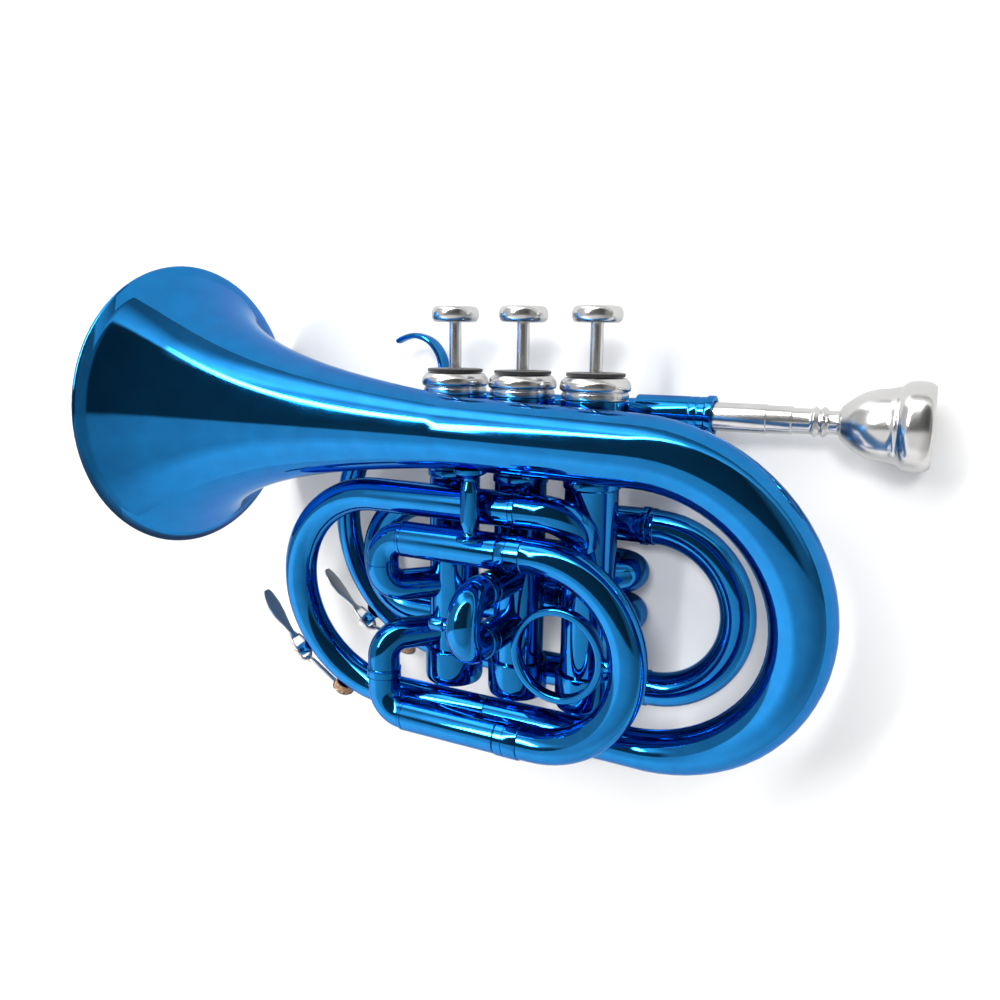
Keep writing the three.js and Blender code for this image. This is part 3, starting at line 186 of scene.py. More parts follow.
def blue_lacquer():
    material, add, place = new_material("tinted_lacquer_over_nickel", "blue_lacquer")
    depth = add("TexNoise", Vector=place, Scale=per_mm(9), Detail=3, Roughness=0.5)
    shade = add("ValToRGB", Fac=(depth, "Fac"))
    lay_stops(shade, (0.35, colour("0678be")), (0.65, colour("0a80c8")))
    # Painted dark reflection: the base colour is mixed to dark navy 04294a on the bell's bead.
    from_rim = add("VectorMath", {"operation": "DISTANCE"}, place, in_metres(BELL_RIM))
    inside = add("MapRange", Value=(from_rim, "Value"),
                 From_Min=PAINTED_DARK_BEAD_INNER[0] / 1000, From_Max=PAINTED_DARK_BEAD_INNER[1] / 1000,
                 To_Min=1, To_Max=0)
    along = add("SeparateXYZ", Vector=place)
    behind = add("MapRange", Value=(along, "X"),
                 From_Min=PAINTED_DARK_BEAD_BACK[0] / 1000, From_Max=PAINTED_DARK_BEAD_BACK[1] / 1000)
    off_painted_dark_bead = add("Math", {"operation": "MAXIMUM"}, (inside, "Result"), (behind, "Result"))
    tone = add("MixRGB", Fac=(off_painted_dark_bead, "Value"), Color1=colour("04294a"), Color2=(shade, "Color"))
    haze = add("TexNoise", Vector=place, Scale=per_mm(14), Detail=4, Roughness=0.6)
    blur = add("MapRange", Value=(haze, "Fac"),
               From_Min=0.35, From_Max=0.7, To_Min=0.035, To_Max=0.075)
    wave = add("TexNoise", Vector=place, Scale=per_mm(4), Detail=1)
    skin = add("Bump", Height=(wave, "Fac"), Strength=0.03, Distance=0.0002)
    shader = add("BsdfPrincipled", Base_Color=(tone, "Color"), Metallic=1,
                 Roughness=(blur, "Result"), Normal=(skin, "Normal"),
                 Specular_Tint=colour("8cc4f4"), Coat_Weight=0.3, Coat_Roughness=0.02,
                 Coat_IOR=1.5)
    finish_material(add, shader)
    return material


lacquer = blue_lacquer()
print("made", lacquer.name)

# %% [markdown]
# **Bright plate.** The mouthpiece, caps, stems, buttons and key levers are plated and buffed on a
# soft wheel. The wheel's marks, too small to see one by one, blur what the plate mirrors, and a
# little unevenly. Real marks are about 0.05 mm wide; they are drawn at 0.3 mm so that a render can
# show them. Fingers have worn the key levers duller, so their plate blurs more.

# %% Bright plate
def bright_plate(name, least_blur, most_blur):
    material, add, place = new_material(name, "silver_plate")
    tone = add("TexNoise", Vector=place, Scale=per_mm(6), Detail=2)
    shade = add("ValToRGB", Fac=(tone, "Fac"))
    lay_stops(shade, (0.3, colour("dcdbd9")), (0.7, colour("e6e5e3")))
    marks = add("TexNoise", Vector=place, Scale=per_mm(0.3), Detail=2)
    blur = add("MapRange", Value=(marks, "Fac"),
               From_Min=0.3, From_Max=0.7, To_Min=least_blur, To_Max=most_blur)
    skin = add("Bump", Height=(marks, "Fac"), Strength=0.02, Distance=0.0001)
    shader = add("BsdfPrincipled", Base_Color=(shade, "Color"), Metallic=1,
                 Roughness=(blur, "Result"), Normal=(skin, "Normal"))
    finish_material(add, shader)
    return material


plate = bright_plate("buffed_bright_plate", 0.16, 0.26)
satin = bright_plate("satin_lever_plate", 0.32, 0.44)
print("made", plate.name, satin.name)

# %% [markdown]
# **Felt, cork and honed metal.** Felt is pressed wool: no gloss, a soft sheen of loose fibres and
# clumps about half a millimetre wide. Cork is cut bark: light brown, with darker pores. The
# pistons are honed along a spiral, which leaves a dull grey metal with fine lines round it, drawn
# wider apart than they are.

# %% Felt, cork, pistons and springs
def felt_pad():
    material, add, place = new_material("pressed_wool_felt", "felt")
    clumps = add("TexNoise", Vector=place, Scale=per_mm(0.5), Detail=4, Roughness=0.7)
    shade = add("ValToRGB", Fac=(clumps, "Fac"))
    lay_stops(shade, (0.3, colour("0c0c0d")), (0.75, colour("2c2a2a")))
    fibres = add("Bump", Height=(clumps, "Fac"), Strength=0.7, Distance=0.0003)
    shader = add("BsdfPrincipled", Base_Color=(shade, "Color"),
                 Roughness=0.95, Normal=(fibres, "Normal"), Sheen_Weight=0.3)
    finish_material(add, shader)
    return material


def natural_cork():
    material, add, place = new_material("cut_natural_cork", "cork")
    cells = add("TexNoise", Vector=place, Scale=per_mm(0.9), Detail=5, Roughness=0.65)
    shade = add("ValToRGB", Fac=(cells, "Fac"))
    lay_stops(shade, (0.38, colour("6d4c31")), (0.6, colour("c29c79")))
    pores = add("TexVoronoi", Vector=place, Scale=per_mm(0.7))
    pits = add("Bump", Height=(pores, "Distance"), Strength=0.5, Distance=0.0002)
    shader = add("BsdfPrincipled", Base_Color=(shade, "Color"),
                 Roughness=0.8, Normal=(pits, "Normal"))
    finish_material(add, shader)
    return material


WAVE_PERIOD = math.pi / 10  # the width of one band of a wave texture at scale 1


def ground_metal(name, record_slot, dark, light, line_mm):
    material, add, place = new_material(name, record_slot)
    lines = add("TexWave", {"bands_direction": "Y"},
                Vector=place, Scale=per_mm(line_mm) * WAVE_PERIOD, Distortion=2, Detail=2)
    shade = add("ValToRGB", Fac=(lines, "Fac"))
    lay_stops(shade, (0, colour(dark)), (1, colour(light)))
    shader = add("BsdfPrincipled", Base_Color=(shade, "Color"), Metallic=1, Roughness=0.28)
    finish_material(add, shader)
    return material


felt = felt_pad()
cork = natural_cork()
honed = ground_metal("honed_piston_alloy", "piston_metal", "a9a79f", "bdbbb4", 0.754)
wire = ground_metal("drawn_spring_steel", "spring_steel", "7f8388", "989da2", 0.5655)
print("made", [made.name for made in (felt, cork, honed, wire)])

for name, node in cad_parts.items():
    for start, material in (("piston", honed), ("valve_spring", wire), ("valve_guide", plate)):
        if name.startswith(start):
            node.data.materials.clear()
            node.data.materials.append(material)

# %% [markdown]
# ## Tubes
# A brass instrument is pipework, so it is drawn as a pipe fitter would call it out: so far
# straight on, then a bend of this radius towards that side. Each station on the route keeps its
# place, its heading and the radius outside and inside. Blender could bevel a curve instead, but a
# bevelled curve has no bore, and its ends stay open.

# %% The route of a tube
BEND_STEP = math.radians(5)


class Route:
    def __init__(self, start, heading, outer, bore):
        self.place, self.heading = Vector(start), Vector(heading).normalized()
        self.outer, self.bore, self.stations = outer, bore, []
        self.mark()

    def mark(self):
        self.stations.append((self.place.copy(), self.heading.copy(), self.outer, self.bore))
        return self

    def straight(self, length, outer=None, bore=None):
        self.place += self.heading * length
        self.outer = self.outer if outer is None else outer
        self.bore = self.bore if bore is None else bore
        return self.mark()

    def shoulder(self, outer, bore=None):
        """A rounded step in the outside, 0.4 mm long."""
        before = self.outer
        self.straight(0.08, before + (outer - before) * 0.7)
        self.straight(0.12, before + (outer - before) * 0.93)
        return self.straight(0.2, outer, bore)

    def groove(self, depth=0.28):
        """A turned line round the tube, 0.6 mm wide."""
        full = self.outer
        self.straight(0.15, full - depth)
        self.straight(0.3, full - depth)
        return self.straight(0.15, full)

    def bend(self, radius, angle, toward, outer=None, bore=None):
        ahead, toward = self.heading.copy(), Vector(toward)
        side = (toward - ahead * toward.dot(ahead)).normalized()
        centre = self.place + side * radius
        steps = max(2, math.ceil(angle / BEND_STEP))
        from_outer, from_bore = self.outer, self.bore
        to_outer = from_outer if outer is None else outer
        to_bore = from_bore if bore is None else bore
        for step in range(1, steps + 1):
            share = step / steps
            turn = angle * share
            self.place = centre - side * radius * math.cos(turn) + ahead * radius * math.sin(turn)
            self.heading = ahead * math.cos(turn) + side * math.sin(turn)
            self.outer = from_outer + (to_outer - from_outer) * share
            self.bore = from_bore + (to_bore - from_bore) * share
            self.mark()
        return self


# %% [markdown]
# The sweep carries a circle along the stations without letting it twist, outside one way and
# inside the other, and closes the ring at both ends with a small rounded lip.

# %% Sweep a tube
LIP = 0.12


def swept(route, sides=40):
    first, last = route.stations[0], route.stations[-1]
    rings = [(first[0], first[1], first[2] - LIP), (first[0] + first[1] * LIP, first[1], first[2])]
    rings += [station[:3] for station in route.stations[1:-1]]
    rings += [(last[0] - last[1] * LIP, last[1], last[2]), (last[0], last[1], last[2] - LIP)]
    rings += [(place, heading, bore) for place, heading, _, bore in reversed(route.stations)]
    points = []
    heading = rings[0][1]
    across = heading.orthogonal().normalized()
    for place, ahead, radius in rings:
        across = heading.rotation_difference(ahead) @ across
        across = (across - ahead * across.dot(ahead)).normalized()
        heading = ahead
        other = ahead.cross(across)
        for side in range(sides):
            turn = 2 * math.pi * side / sides
            points.append(place + (across * math.cos(turn) + other * math.sin(turn)) * radius)
    return points, grid_faces(len(rings), sides)


def tube(name, route, *nodes, body="horn", sides=40):
    points, faces = swept(route, sides)
    return make_piece(name, points, faces, lacquer, body, *nodes)


# %% [markdown]
# A tube that meets a valve is filed hollow at its end to sit on the casing. The sweep runs on to
# the valve's axis, and a boolean modifier takes away what lies inside the casing. The cutter is a
# little thinner than the casing, so that the filed end reaches into the casing's wall.

# %% File a tube end to its casing
CASING_RADIUS = 9.2
CASING_LENGTH = 103.0
CUTTER_RADIUS = CASING_RADIUS - 0.05
CUTTER_LENGTH = CASING_LENGTH + 20
VALVE_SPACING = 26.8
VALVE_X = {1: VALVE_SPACING, 2: 0, 3: -VALVE_SPACING}


def file_to_casing(piece, *valves):
    for number in valves:
        bpy.ops.mesh.primitive_cylinder_add(
            vertices=72, radius=CUTTER_RADIUS / 1000, depth=CUTTER_LENGTH / 1000,
            location=in_metres((VALVE_X[number], -CASING_LENGTH / 2, 0)),
            rotation=(math.pi / 2, 0, 0))
        cutter = bpy.context.object
        cut = piece.modifiers.new("file", "BOOLEAN")
        cut.operation, cut.object, cut.solver = "DIFFERENCE", cutter, "EXACT"
        bpy.context.view_layer.update()
        graph = bpy.context.evaluated_depsgraph_get()
        filed = bpy.data.meshes.new_from_object(piece.evaluated_get(graph))
        piece.modifiers.clear()
        piece.data = filed
        bpy.data.objects.remove(cutter)
    piece.data.set_sharp_from_angle(angle=SHARP_ANGLE)
    print(piece.name, "filed to casing", valves, len(piece.data.polygons), "faces")


# %% [markdown]
# ## The bell
# The bell is beaten and spun from one sheet: a wide flare, a slowly tapering tube, and a bow. Its
# flare follows a simple law, steep at the rim and slower with every millimetre, down to the
# throat. The rim is rolled over a wire, which makes the bead.

# %% The bell's flare
BELL_HEADING = Vector((1, -0.026, 0)).normalized()
BELL_THROAT_RADIUS = 12.0
BELL_THROAT_REACH = 118.0
BELL_FLARE_SHIFT = 46.0
BELL_WALL = 0.7
BEAD_RADIUS = 1.15


def bell_radius(distance):
    shrink = BELL_FLARE_SHIFT / (distance + BELL_FLARE_SHIFT)
    least = BELL_FLARE_SHIFT / (BELL_THROAT_REACH + BELL_FLARE_SHIFT)
    wider = (BELL_RIM_RADIUS - BELL_THROAT_RADIUS) * (shrink - least) / (1 - least)
    return BELL_THROAT_RADIUS + wider


print("bell radius in mm:", [(at, round(bell_radius(at), 1)) for at in (0, 10, 40, 80, 118)])

# %% Sweep the bell, its bow and its bottom run
FLARE_STATIONS = 44
FIRST_STATION = 3  # those before it would lie inside the bead
FLARE_CROWDING = 1.6  # sets the stations closer together near the rim
BOW_X = 49.0
BOTTOM_Y, BOTTOM_Z = -119.4, 7.0
TAIL_JOINT_X = -8.0


def bell_route():
    def wall(distance):
        slope = (bell_radius(distance) - bell_radius(distance + 0.5)) / 0.5
        return BELL_WALL * math.hypot(1, slope)

    curls = [math.radians(angle) for angle in (20, 45, 70, 95, 120, 140)]
    beads = [(-BEAD_RADIUS * math.cos(curl), BEAD_RADIUS * math.sin(curl)) for curl in curls]
    gone, proud = beads[0]
    route = Route(BELL_RIM + BELL_HEADING * gone, BELL_HEADING,
                  BELL_RIM_RADIUS + proud, BELL_RIM_RADIUS - proud)
    for reach, proud in beads[1:]:
        route.straight(reach - gone, BELL_RIM_RADIUS + proud, BELL_RIM_RADIUS - proud)
        gone = reach
    for station in range(FIRST_STATION, FLARE_STATIONS + 1):
        reach = BELL_THROAT_REACH * (station / FLARE_STATIONS) ** FLARE_CROWDING
        route.straight(reach - gone, bell_radius(reach), bell_radius(reach) - wall(reach))
        gone = reach
    route.straight((BOW_X - route.place.x) / BELL_HEADING.x, 11.4, 10.7)
    down = Vector((0, BOTTOM_Y - route.place.y, BOTTOM_Z - route.place.z))
    half = BELL_HEADING.angle(-X) / 2
    for turn, toward, outer, bore in ((half, down, 9.8, 9.1), (half / 2, -X, 8.7, 8),
                                      (half / 2, -X, 6.7, 6)):
        route.bend(down.length / 2, turn, toward, outer, bore)
    return route.straight(route.place.x - TAIL_JOINT_X, 6.3, 5.8)


bell = tube("spun_bell", bell_route(), "bell", sides=96)
print("bell:", len(bell.data.polygons), "faces")

# %% [markdown]
# ## Leadpipe, loops and slides
# Every other tube is one call of the same route. The front loops turn half a circle in a plane
# that leans, because each has to change layer on its way round.

# %% Sizes that the tubes share
LEG, SLEEVE, BOW = 5.4, 6.3, 6.15
LEG_BORE, SLEEVE_BORE, PIPE_BORE = 4.9, 5.8, 4.4
LEADPIPE_RADIUS = 4.9
LEADPIPE_START, LEADPIPE_Y, LEADPIPE_Z = 41.4, -8, -17.1
LOW_Z = -20.0
UPPER_Y, LOWER_Y = -48.3, -108.9
UPPER_START, LOWER_START, SLEEVE_COLLAR_X = 2, -12, 39.1
LEADPIPE_STEP_X = LOWER_START - 3
FRONT_X = -39.3
SEAT = 5.0
GAP = 0.3
FERRULE_STEP = 0.45

# %% Leadpipe with its front loop
down = Vector((0, LOWER_Y - LEADPIPE_Y, LOW_Z - LEADPIPE_Z))
lead_loop = {
    "centre": Vector((FRONT_X, (LEADPIPE_Y + LOWER_Y) / 2, (LEADPIPE_Z + LOW_Z) / 2)),
    "radius": down.length / 2, "tube": LEADPIPE_RADIUS, "up": -down.normalized(),
}
route = Route((LEADPIPE_START, LEADPIPE_Y, LEADPIPE_Z), -X, LEADPIPE_RADIUS, PIPE_BORE)
route.straight(LEADPIPE_START - FRONT_X).bend(lead_loop["radius"], math.pi, down)
route.straight(LEADPIPE_STEP_X - FRONT_X).shoulder(LEG, LEG_BORE)
route.straight(LOWER_START + SEAT - route.place.x)
tube("bent_leadpipe", route, "leadpipe", "leadpipe_bend")
print("leadpipe loop radius in mm:", round(lead_loop["radius"], 1))

# %% Outer sleeves of the main slide
for name, node, start, height in (("upper_sleeve", "upper_slide_sleeve", UPPER_START, UPPER_Y),
                                  ("lower_sleeve", "lower_slide_sleeve", LOWER_START, LOWER_Y)):
    route = Route((start, height, LOW_Z), X, SLEEVE, SLEEVE_BORE).straight(1.2).groove()
    route.straight(SLEEVE_COLLAR_X - route.place.x).shoulder(SLEEVE + 0.6)
    route.straight(0.7).groove(0.3).straight(0.7)
    tube(name, route, node)

# %% [markdown]
# A crook is two legs inside the outer tubes, a ferrule on each, and a bow that turns down. It is
# placed by its joint, where the upper leg leaves its outer tube.

# %% Crooks, and the one of the main slide
TUNING_JOINT_X = 42.2
SHORT_FERRULE = 1.6
SHOULDER_LENGTH = 0.4


def crook(joint, heading, insert, ferrule, reach, radius, slim=0, lined=False):
    """reach is from the joint to the bow; lined ferrules have a turned line round them."""
    leg, bow = LEG - slim, BOW - slim
    visible = reach - ferrule - SHOULDER_LENGTH

    def ferrule_band(before, after):
        if lined:
            route.straight(ferrule / 2 + before).groove().straight(ferrule / 2 + after)
        else:
            route.straight(ferrule - SHOULDER_LENGTH)

    route = Route(Vector(joint) - heading * insert, heading, leg, leg - 0.5).straight(insert)
    route.shoulder(bow + FERRULE_STEP)
    ferrule_band(-1.5, 0.1)
    route.shoulder(bow)
    if visible > 0.01:
        route.straight(visible)
    route.bend(radius, math.pi, -Y)
    if visible > 0.01:
        route.straight(visible)
    route.shoulder(bow + FERRULE_STEP)
    ferrule_band(0.1, -1.5)
    return route.shoulder(leg).straight(insert)


route = crook((TUNING_JOINT_X, UPPER_Y, LOW_Z), X, insert=30, ferrule=SHORT_FERRULE,
              reach=SHORT_FERRULE + SHOULDER_LENGTH, radius=(UPPER_Y - LOWER_Y) / 2)
tube("tuning_bow", route, "tuning_crook", body="tuning_slide")
print("main slide's legs are apart, in mm:", round(UPPER_Y - LOWER_Y, 1))

# %% Loop into valve 3
ENTRY_X, ENTRY_Y, ENTRY_Z = -51.2, -91.3, -13.0
ENTRY_ELBOW_X, ENTRY_ELBOW_RADIUS, ENTRY_ELBOW_SIDE = VALVE_X[3] - 8.3, 11, (0, 0.4, 0.9)
down = Vector((0, ENTRY_Y - UPPER_Y, ENTRY_Z - LOW_Z))
route = Route((UPPER_START + SEAT, UPPER_Y, LOW_Z), -X, LEG, LEG_BORE).straight(SEAT + GAP)
route.shoulder(BOW).straight(route.place.x - ENTRY_X).bend(down.length / 2, math.pi, down)
route.straight(ENTRY_ELBOW_X - ENTRY_X)
route.bend(ENTRY_ELBOW_RADIUS, math.pi / 2, ENTRY_ELBOW_SIDE).straight(2)
file_to_casing(tube("entry_loop", route, "valve_3_entry_loop"), 3)

# %% Tail loop from the bell up to valve 1
TAIL_Y, TAIL_Z, TAIL_RADIUS, TAIL_X, TAIL_END_X = -40, 15.6, 6.1, -50.7, 5.5
TAIL_ELBOW_RADIUS, TAIL_ELBOW_SIDE = 11.4, (0, -0.74, -0.67)
rise = Vector((0, TAIL_Y - BOTTOM_Y, TAIL_Z - BOTTOM_Z))
tail_loop = {
    "centre": Vector((TAIL_X, (TAIL_Y + BOTTOM_Y) / 2, (TAIL_Z + BOTTOM_Z) / 2)),
    "radius": rise.length / 2, "tube": TAIL_RADIUS, "up": rise.normalized(),
}
route = Route((TAIL_JOINT_X + SEAT, BOTTOM_Y, BOTTOM_Z), -X, LEG, LEG_BORE)
route.straight(SEAT + GAP).shoulder(TAIL_RADIUS)
route.straight(route.place.x - TAIL_X).bend(tail_loop["radius"], math.pi, rise)
route.straight(TAIL_END_X - TAIL_X)
tube("tail_loop", route, "bell_tail_loop")

route = Route((TAIL_END_X + GAP, TAIL_Y, TAIL_Z), X, TAIL_RADIUS + FERRULE_STEP, LEG_BORE)
route.straight(1.6).shoulder(TAIL_RADIUS).straight(7.6)
route.bend(TAIL_ELBOW_RADIUS, math.pi / 2, TAIL_ELBOW_SIDE).straight(2)
file_to_casing(tube("tail_knuckle", route, "bell_tail_knuckle"), 1)

# %% [markdown]
# ## The third slide
# It lies nearest to the eye, so its joints show best. Each joint between a bow, a ferrule and a
# tube has a turned line, where the parts were soldered and the joint was dressed on a lathe.

# %% Third slide
THIRD_Z, THIRD_UPPER_Y, THIRD_LOWER_Y = 20.5, -53.8, -119.9
THIRD_START, THIRD_END, THIRD_BOW_X = -36, 3, 16.4
THIRD_JOINT_X = THIRD_END + GAP
THIRD_ELBOW, PORT_ELBOW = 9, 8
THIRD_UPPER_PORT, THIRD_LOWER_PORT = -72.8, -91.5

for name, node, height in (("third_upper_sleeve", "third_upper_tube", THIRD_UPPER_Y),
                           ("third_lower_sleeve", "third_lower_tube", THIRD_LOWER_Y)):
    route = Route((THIRD_START + GAP, height, THIRD_Z), X, SLEEVE, SLEEVE_BORE)
    route.straight(1).groove().straight(THIRD_END - route.place.x)
    tube(name, route, node)

from_valve = Vector((THIRD_START - THIRD_ELBOW - VALVE_X[3], 0, THIRD_Z))
for name, node, height, port in (
        ("third_upper_bend", "third_upper_elbow", THIRD_UPPER_Y, THIRD_UPPER_PORT),
        ("third_lower_bend", "third_lower_elbow", THIRD_LOWER_Y, THIRD_LOWER_PORT)):
    upright_part = abs(height - port) - THIRD_ELBOW - PORT_ELBOW
    route = Route((THIRD_START, height, THIRD_Z), -X, SLEEVE - FERRULE_STEP, LEG_BORE)
    route.bend(THIRD_ELBOW, math.pi / 2, Y if port > height else -Y)
    if upright_part > 3:
        route.straight(upright_part / 2 - 2).shoulder(SLEEVE).groove().straight(2).groove()
        route.shoulder(SLEEVE - FERRULE_STEP).straight(upright_part / 2 - 2)
    else:
        route.straight(upright_part / 2 - 0.3).groove().straight(upright_part / 2 - 0.3)
    route.bend(PORT_ELBOW, math.pi / 2, -from_valve)
    route.straight(from_valve.length - PORT_ELBOW - 1)
    file_to_casing(tube(name, route, node), 3)

third_radius = (THIRD_UPPER_Y - THIRD_LOWER_Y) / 2
route = crook((THIRD_JOINT_X, THIRD_UPPER_Y, THIRD_Z), X, insert=33, ferrule=9,
              reach=THIRD_BOW_X - THIRD_JOINT_X, radius=third_radius, lined=True)
third_bow = tube("third_bow", route, body="third_slide")

# %% [markdown]
# ## The small slides
# The second slide comes straight at the eye. The first lies on the far side, where only its elbow
# shows between the casings.

# %% Second and first slides
SECOND_UPPER_Y, SECOND_LOWER_Y, SECOND_SLIM = -66.2, -83.4, 0.55
SECOND_LINE_Z, SECOND_JOINT_Z, SECOND_BOW_Z = 24.4, 27.5, 32.4
for name, node, height in (("second_upper_sleeve", "second_upper_leg", SECOND_UPPER_Y),
                           ("second_lower_sleeve", "second_lower_leg", SECOND_LOWER_Y)):
    route = Route((0, height, 0), Z, SLEEVE - SECOND_SLIM, SLEEVE_BORE - SECOND_SLIM)
    route.straight(SECOND_LINE_Z).groove().straight(SECOND_JOINT_Z - GAP - route.place.z)
    file_to_casing(tube(name, route, node), 2)
second_radius = (SECOND_UPPER_Y - SECOND_LOWER_Y) / 2
route = crook((0, SECOND_UPPER_Y, SECOND_JOINT_Z), Z, insert=13, ferrule=SHORT_FERRULE,
              reach=SECOND_BOW_Z - SECOND_JOINT_Z, radius=second_radius, slim=SECOND_SLIM)
second_bow = tube("second_bow", route, body="second_slide")

FIRST_UPPER_Y, FIRST_LOWER_Y, FIRST_Z = -65, -80.6, -24.4
FIRST_JOINT_X, FIRST_BOW_X = 7.7, -2.5
FIRST_ELBOW, FIRST_ANGLE = 9, math.radians(50)
first_port = Vector((math.cos(FIRST_ANGLE), 0, -math.sin(FIRST_ANGLE)))
for name, node, height in (("first_upper_sleeve", "first_upper_leg", FIRST_UPPER_Y),
                           ("first_lower_sleeve", "first_lower_leg", FIRST_LOWER_Y)):
    fall = FIRST_ELBOW * (1 + math.cos(FIRST_ANGLE))
    route = Route((VALVE_X[1], height, 0), first_port, SLEEVE - 0.2, SLEEVE_BORE)
    route.straight((-FIRST_Z - fall) / math.sin(FIRST_ANGLE))
    route.bend(FIRST_ELBOW, math.pi - FIRST_ANGLE, -X)
    route.straight(route.place.x - FIRST_JOINT_X - GAP - 1.6).groove().straight(1)
    file_to_casing(tube(name, route, node), 1)
route = crook((FIRST_JOINT_X, FIRST_UPPER_Y, FIRST_Z), -X, insert=19, ferrule=SHORT_FERRULE,
              reach=FIRST_JOINT_X - FIRST_BOW_X, radius=(FIRST_UPPER_Y - FIRST_LOWER_Y) / 2)
tube("first_bow", route, "first_crook", body="first_slide")

# %% Knuckles between the casings
for name, height, left, right in (("knuckle_1_2", -62, 2, 1), ("knuckle_2_3", -80, 3, 2)):
    route = Route((VALVE_X[left], height, 0), X, LEG, PIPE_BORE)
    route.straight(VALVE_X[right] - VALVE_X[left])
    file_to_casing(tube("short_" + name, route, name), left, right)

# %% [markdown]
# ## Turned pieces
# Caps, buttons, stems and the mouthpiece come off a lathe, so each is one outline spun round its
# axis. Where two cuts meet, the turner breaks the edge with a file, and that narrow rounded edge
# is what draws the bright line round the real piece. A short arc at each corner gives it.

# %% Spin an outline
ARC_STEPS = 4


def rounded(outline, closed):
    points, count = [], len(outline)
    for at, (radius, height, edge) in enumerate(outline):
        here = Vector((radius, height))
        if edge == 0 or (not closed and at in (0, count - 1)):
            points.append(here)
            continue
        before, after = Vector(outline[at - 1][:2]), Vector(outline[(at + 1) % count][:2])
        start = here + (before - here).normalized() * min(edge, 0.45 * (before - here).length)
        end = here + (after - here).normalized() * min(edge, 0.45 * (after - here).length)
        for step in range(ARC_STEPS + 1):
            share = step / ARC_STEPS
            points.append(start * (1 - share) ** 2 + here * 2 * share * (1 - share)
                          + end * share ** 2)
    return points


def turned(name, outline, at, axis, material, body, *nodes, closed=True, sides=72, knurl=None):
    """outline lists (radius, height, edge radius) in mm; knurl is (low, high, depth)."""
    profile = rounded(outline, closed)
    axis = Vector(axis).normalized()
    across = axis.orthogonal().normalized()
    other = axis.cross(across)
    points = []
    for step in range(sides):
        turn = 2 * math.pi * step / sides
        out = across * math.cos(turn) + other * math.sin(turn)
        for radius, height in profile:
            if knurl and knurl[0] < height < knurl[1] and step % 2:
                radius -= knurl[2]
            points.append(Vector(at) + out * radius + axis * height)
    faces = grid_faces(sides, len(profile), columns_close=closed)
    return make_piece(name, points, faces, material, body, *nodes)


# %% [markdown]
# The casing is a thin tube with a threaded ring for the cap. The cap is a ring, a fat rounded band
# with fine knurling at its lower edge for the fingers, and a sloping shoulder. Its felt stops the
# button's fall.

# %% Casings, caps and felts
CASING_OUTLINE = [
    (8.6, CASING_TOP, 0), (11.35, CASING_TOP, 0.2), (11.35, CASING_TOP - 4.2, 0.4),
    (9.25, CASING_TOP - 6.6, 0.5), (CASING_RADIUS, -30, 0.1), (9.8, -30.6, 0.15),
    (9.8, -32.6, 0.15), (CASING_RADIUS, -33.2, 0.1), (CASING_RADIUS, -CASING_LENGTH, 0),
    (8.6, -CASING_LENGTH, 0)]
CAP_OUTLINE = [(3.4, 4.2, 0.2), (10.2, 4.2, 0.5), (11.75, 2.4, 0.9), (11.85, 0.6, 0.5),
               (11.6, -0.1, 0.3), (10.9, -0.4, 0.1), (10.9, -0.9, 0.1), (11.2, -1.1, 0.2),
               (11.2, -3, 0.3), (9.8, -3, 0), (9.8, 2.6, 0), (2.6, 2.6, 0), (2.6, 4.2, 0.1)]
FELT_OUTLINE = [(3.2, 4.5, 0), (9.8, 4.5, 0.3), (9.9, 5.7, 0.4), (3.2, 5.7, 0.3)]
BOTTOM_CAP_OUTLINE = [
    (9.5, -98.4, 0), (10.85, -98.4, 0.4), (10.85, -109.4, 1.2), (10.2, -111.2, 0.8),
    (8.6, -111.85, 0.8), (2.6, -111.85, 0.3), (2.6, -110.9, 0), (8.6, -110.9, 0),
    (8.6, -104.1, 0), (9.5, -104.1, 0)]

for number, x in VALVE_X.items():
    at = (x, 0, 0)
    turned(f"casing_tube_{number}", CASING_OUTLINE, at, Y, lacquer, "horn", f"casing_{number}")
    turned(f"upper_cap_{number}", CAP_OUTLINE, at, Y, plate, "horn", f"top_cap_{number}",
           sides=180, knurl=(-0.3, 1.3, 0.1))
    turned(f"felt_ring_{number}", FELT_OUTLINE, at, Y, felt, "horn", f"cap_felt_{number}")
    turned(f"lower_cap_{number}", BOTTOM_CAP_OUTLINE, at, Y, lacquer, "horn",
           f"bottom_cap_{number}")

# %% Stems and finger buttons
BUTTON_FOOT = 21.9
BUTTON_OUTLINE = [(0, 25.2, 0), (2.3, 25.2, 0), (2.3, BUTTON_FOOT, 0), (6, BUTTON_FOOT, 0.4),
                  (7.5, 22, 0.8), (8.42, 23.4, 0.9), (8.42, 25.7, 0.9), (7.6, 27.1, 0.8),
                  (6.2, 27.4, 0.7), (5, 27.1, 0.5), (2, 26.9, 0.8), (0, 26.9, 0)]
STEM_OUTLINE = [(0, -7, 0), (2.2, -7, 0.1), (2.2, 24, 0.1), (1.3, 24.9, 0.1), (0, 24.9, 0)]
for number, x in VALVE_X.items():
    at, body = (x, 0, 0), f"valve_{number}"
    turned(f"button_{number}", BUTTON_OUTLINE, at, Y, plate, body, f"finger_button_{number}",
           closed=False)
    turned(f"valve_stem_{number}", STEM_OUTLINE, at, Y, plate, body, f"stem_{number}",
           closed=False, sides=36)
print("valves dressed:", len(VALVE_X))

# %% [markdown]
# ## Mouthpiece and receiver
# The mouthpiece tapers twice: inside, from the cup's throat to the backbore, and outside, from the
# cup down to the shank that wedges in the receiver.

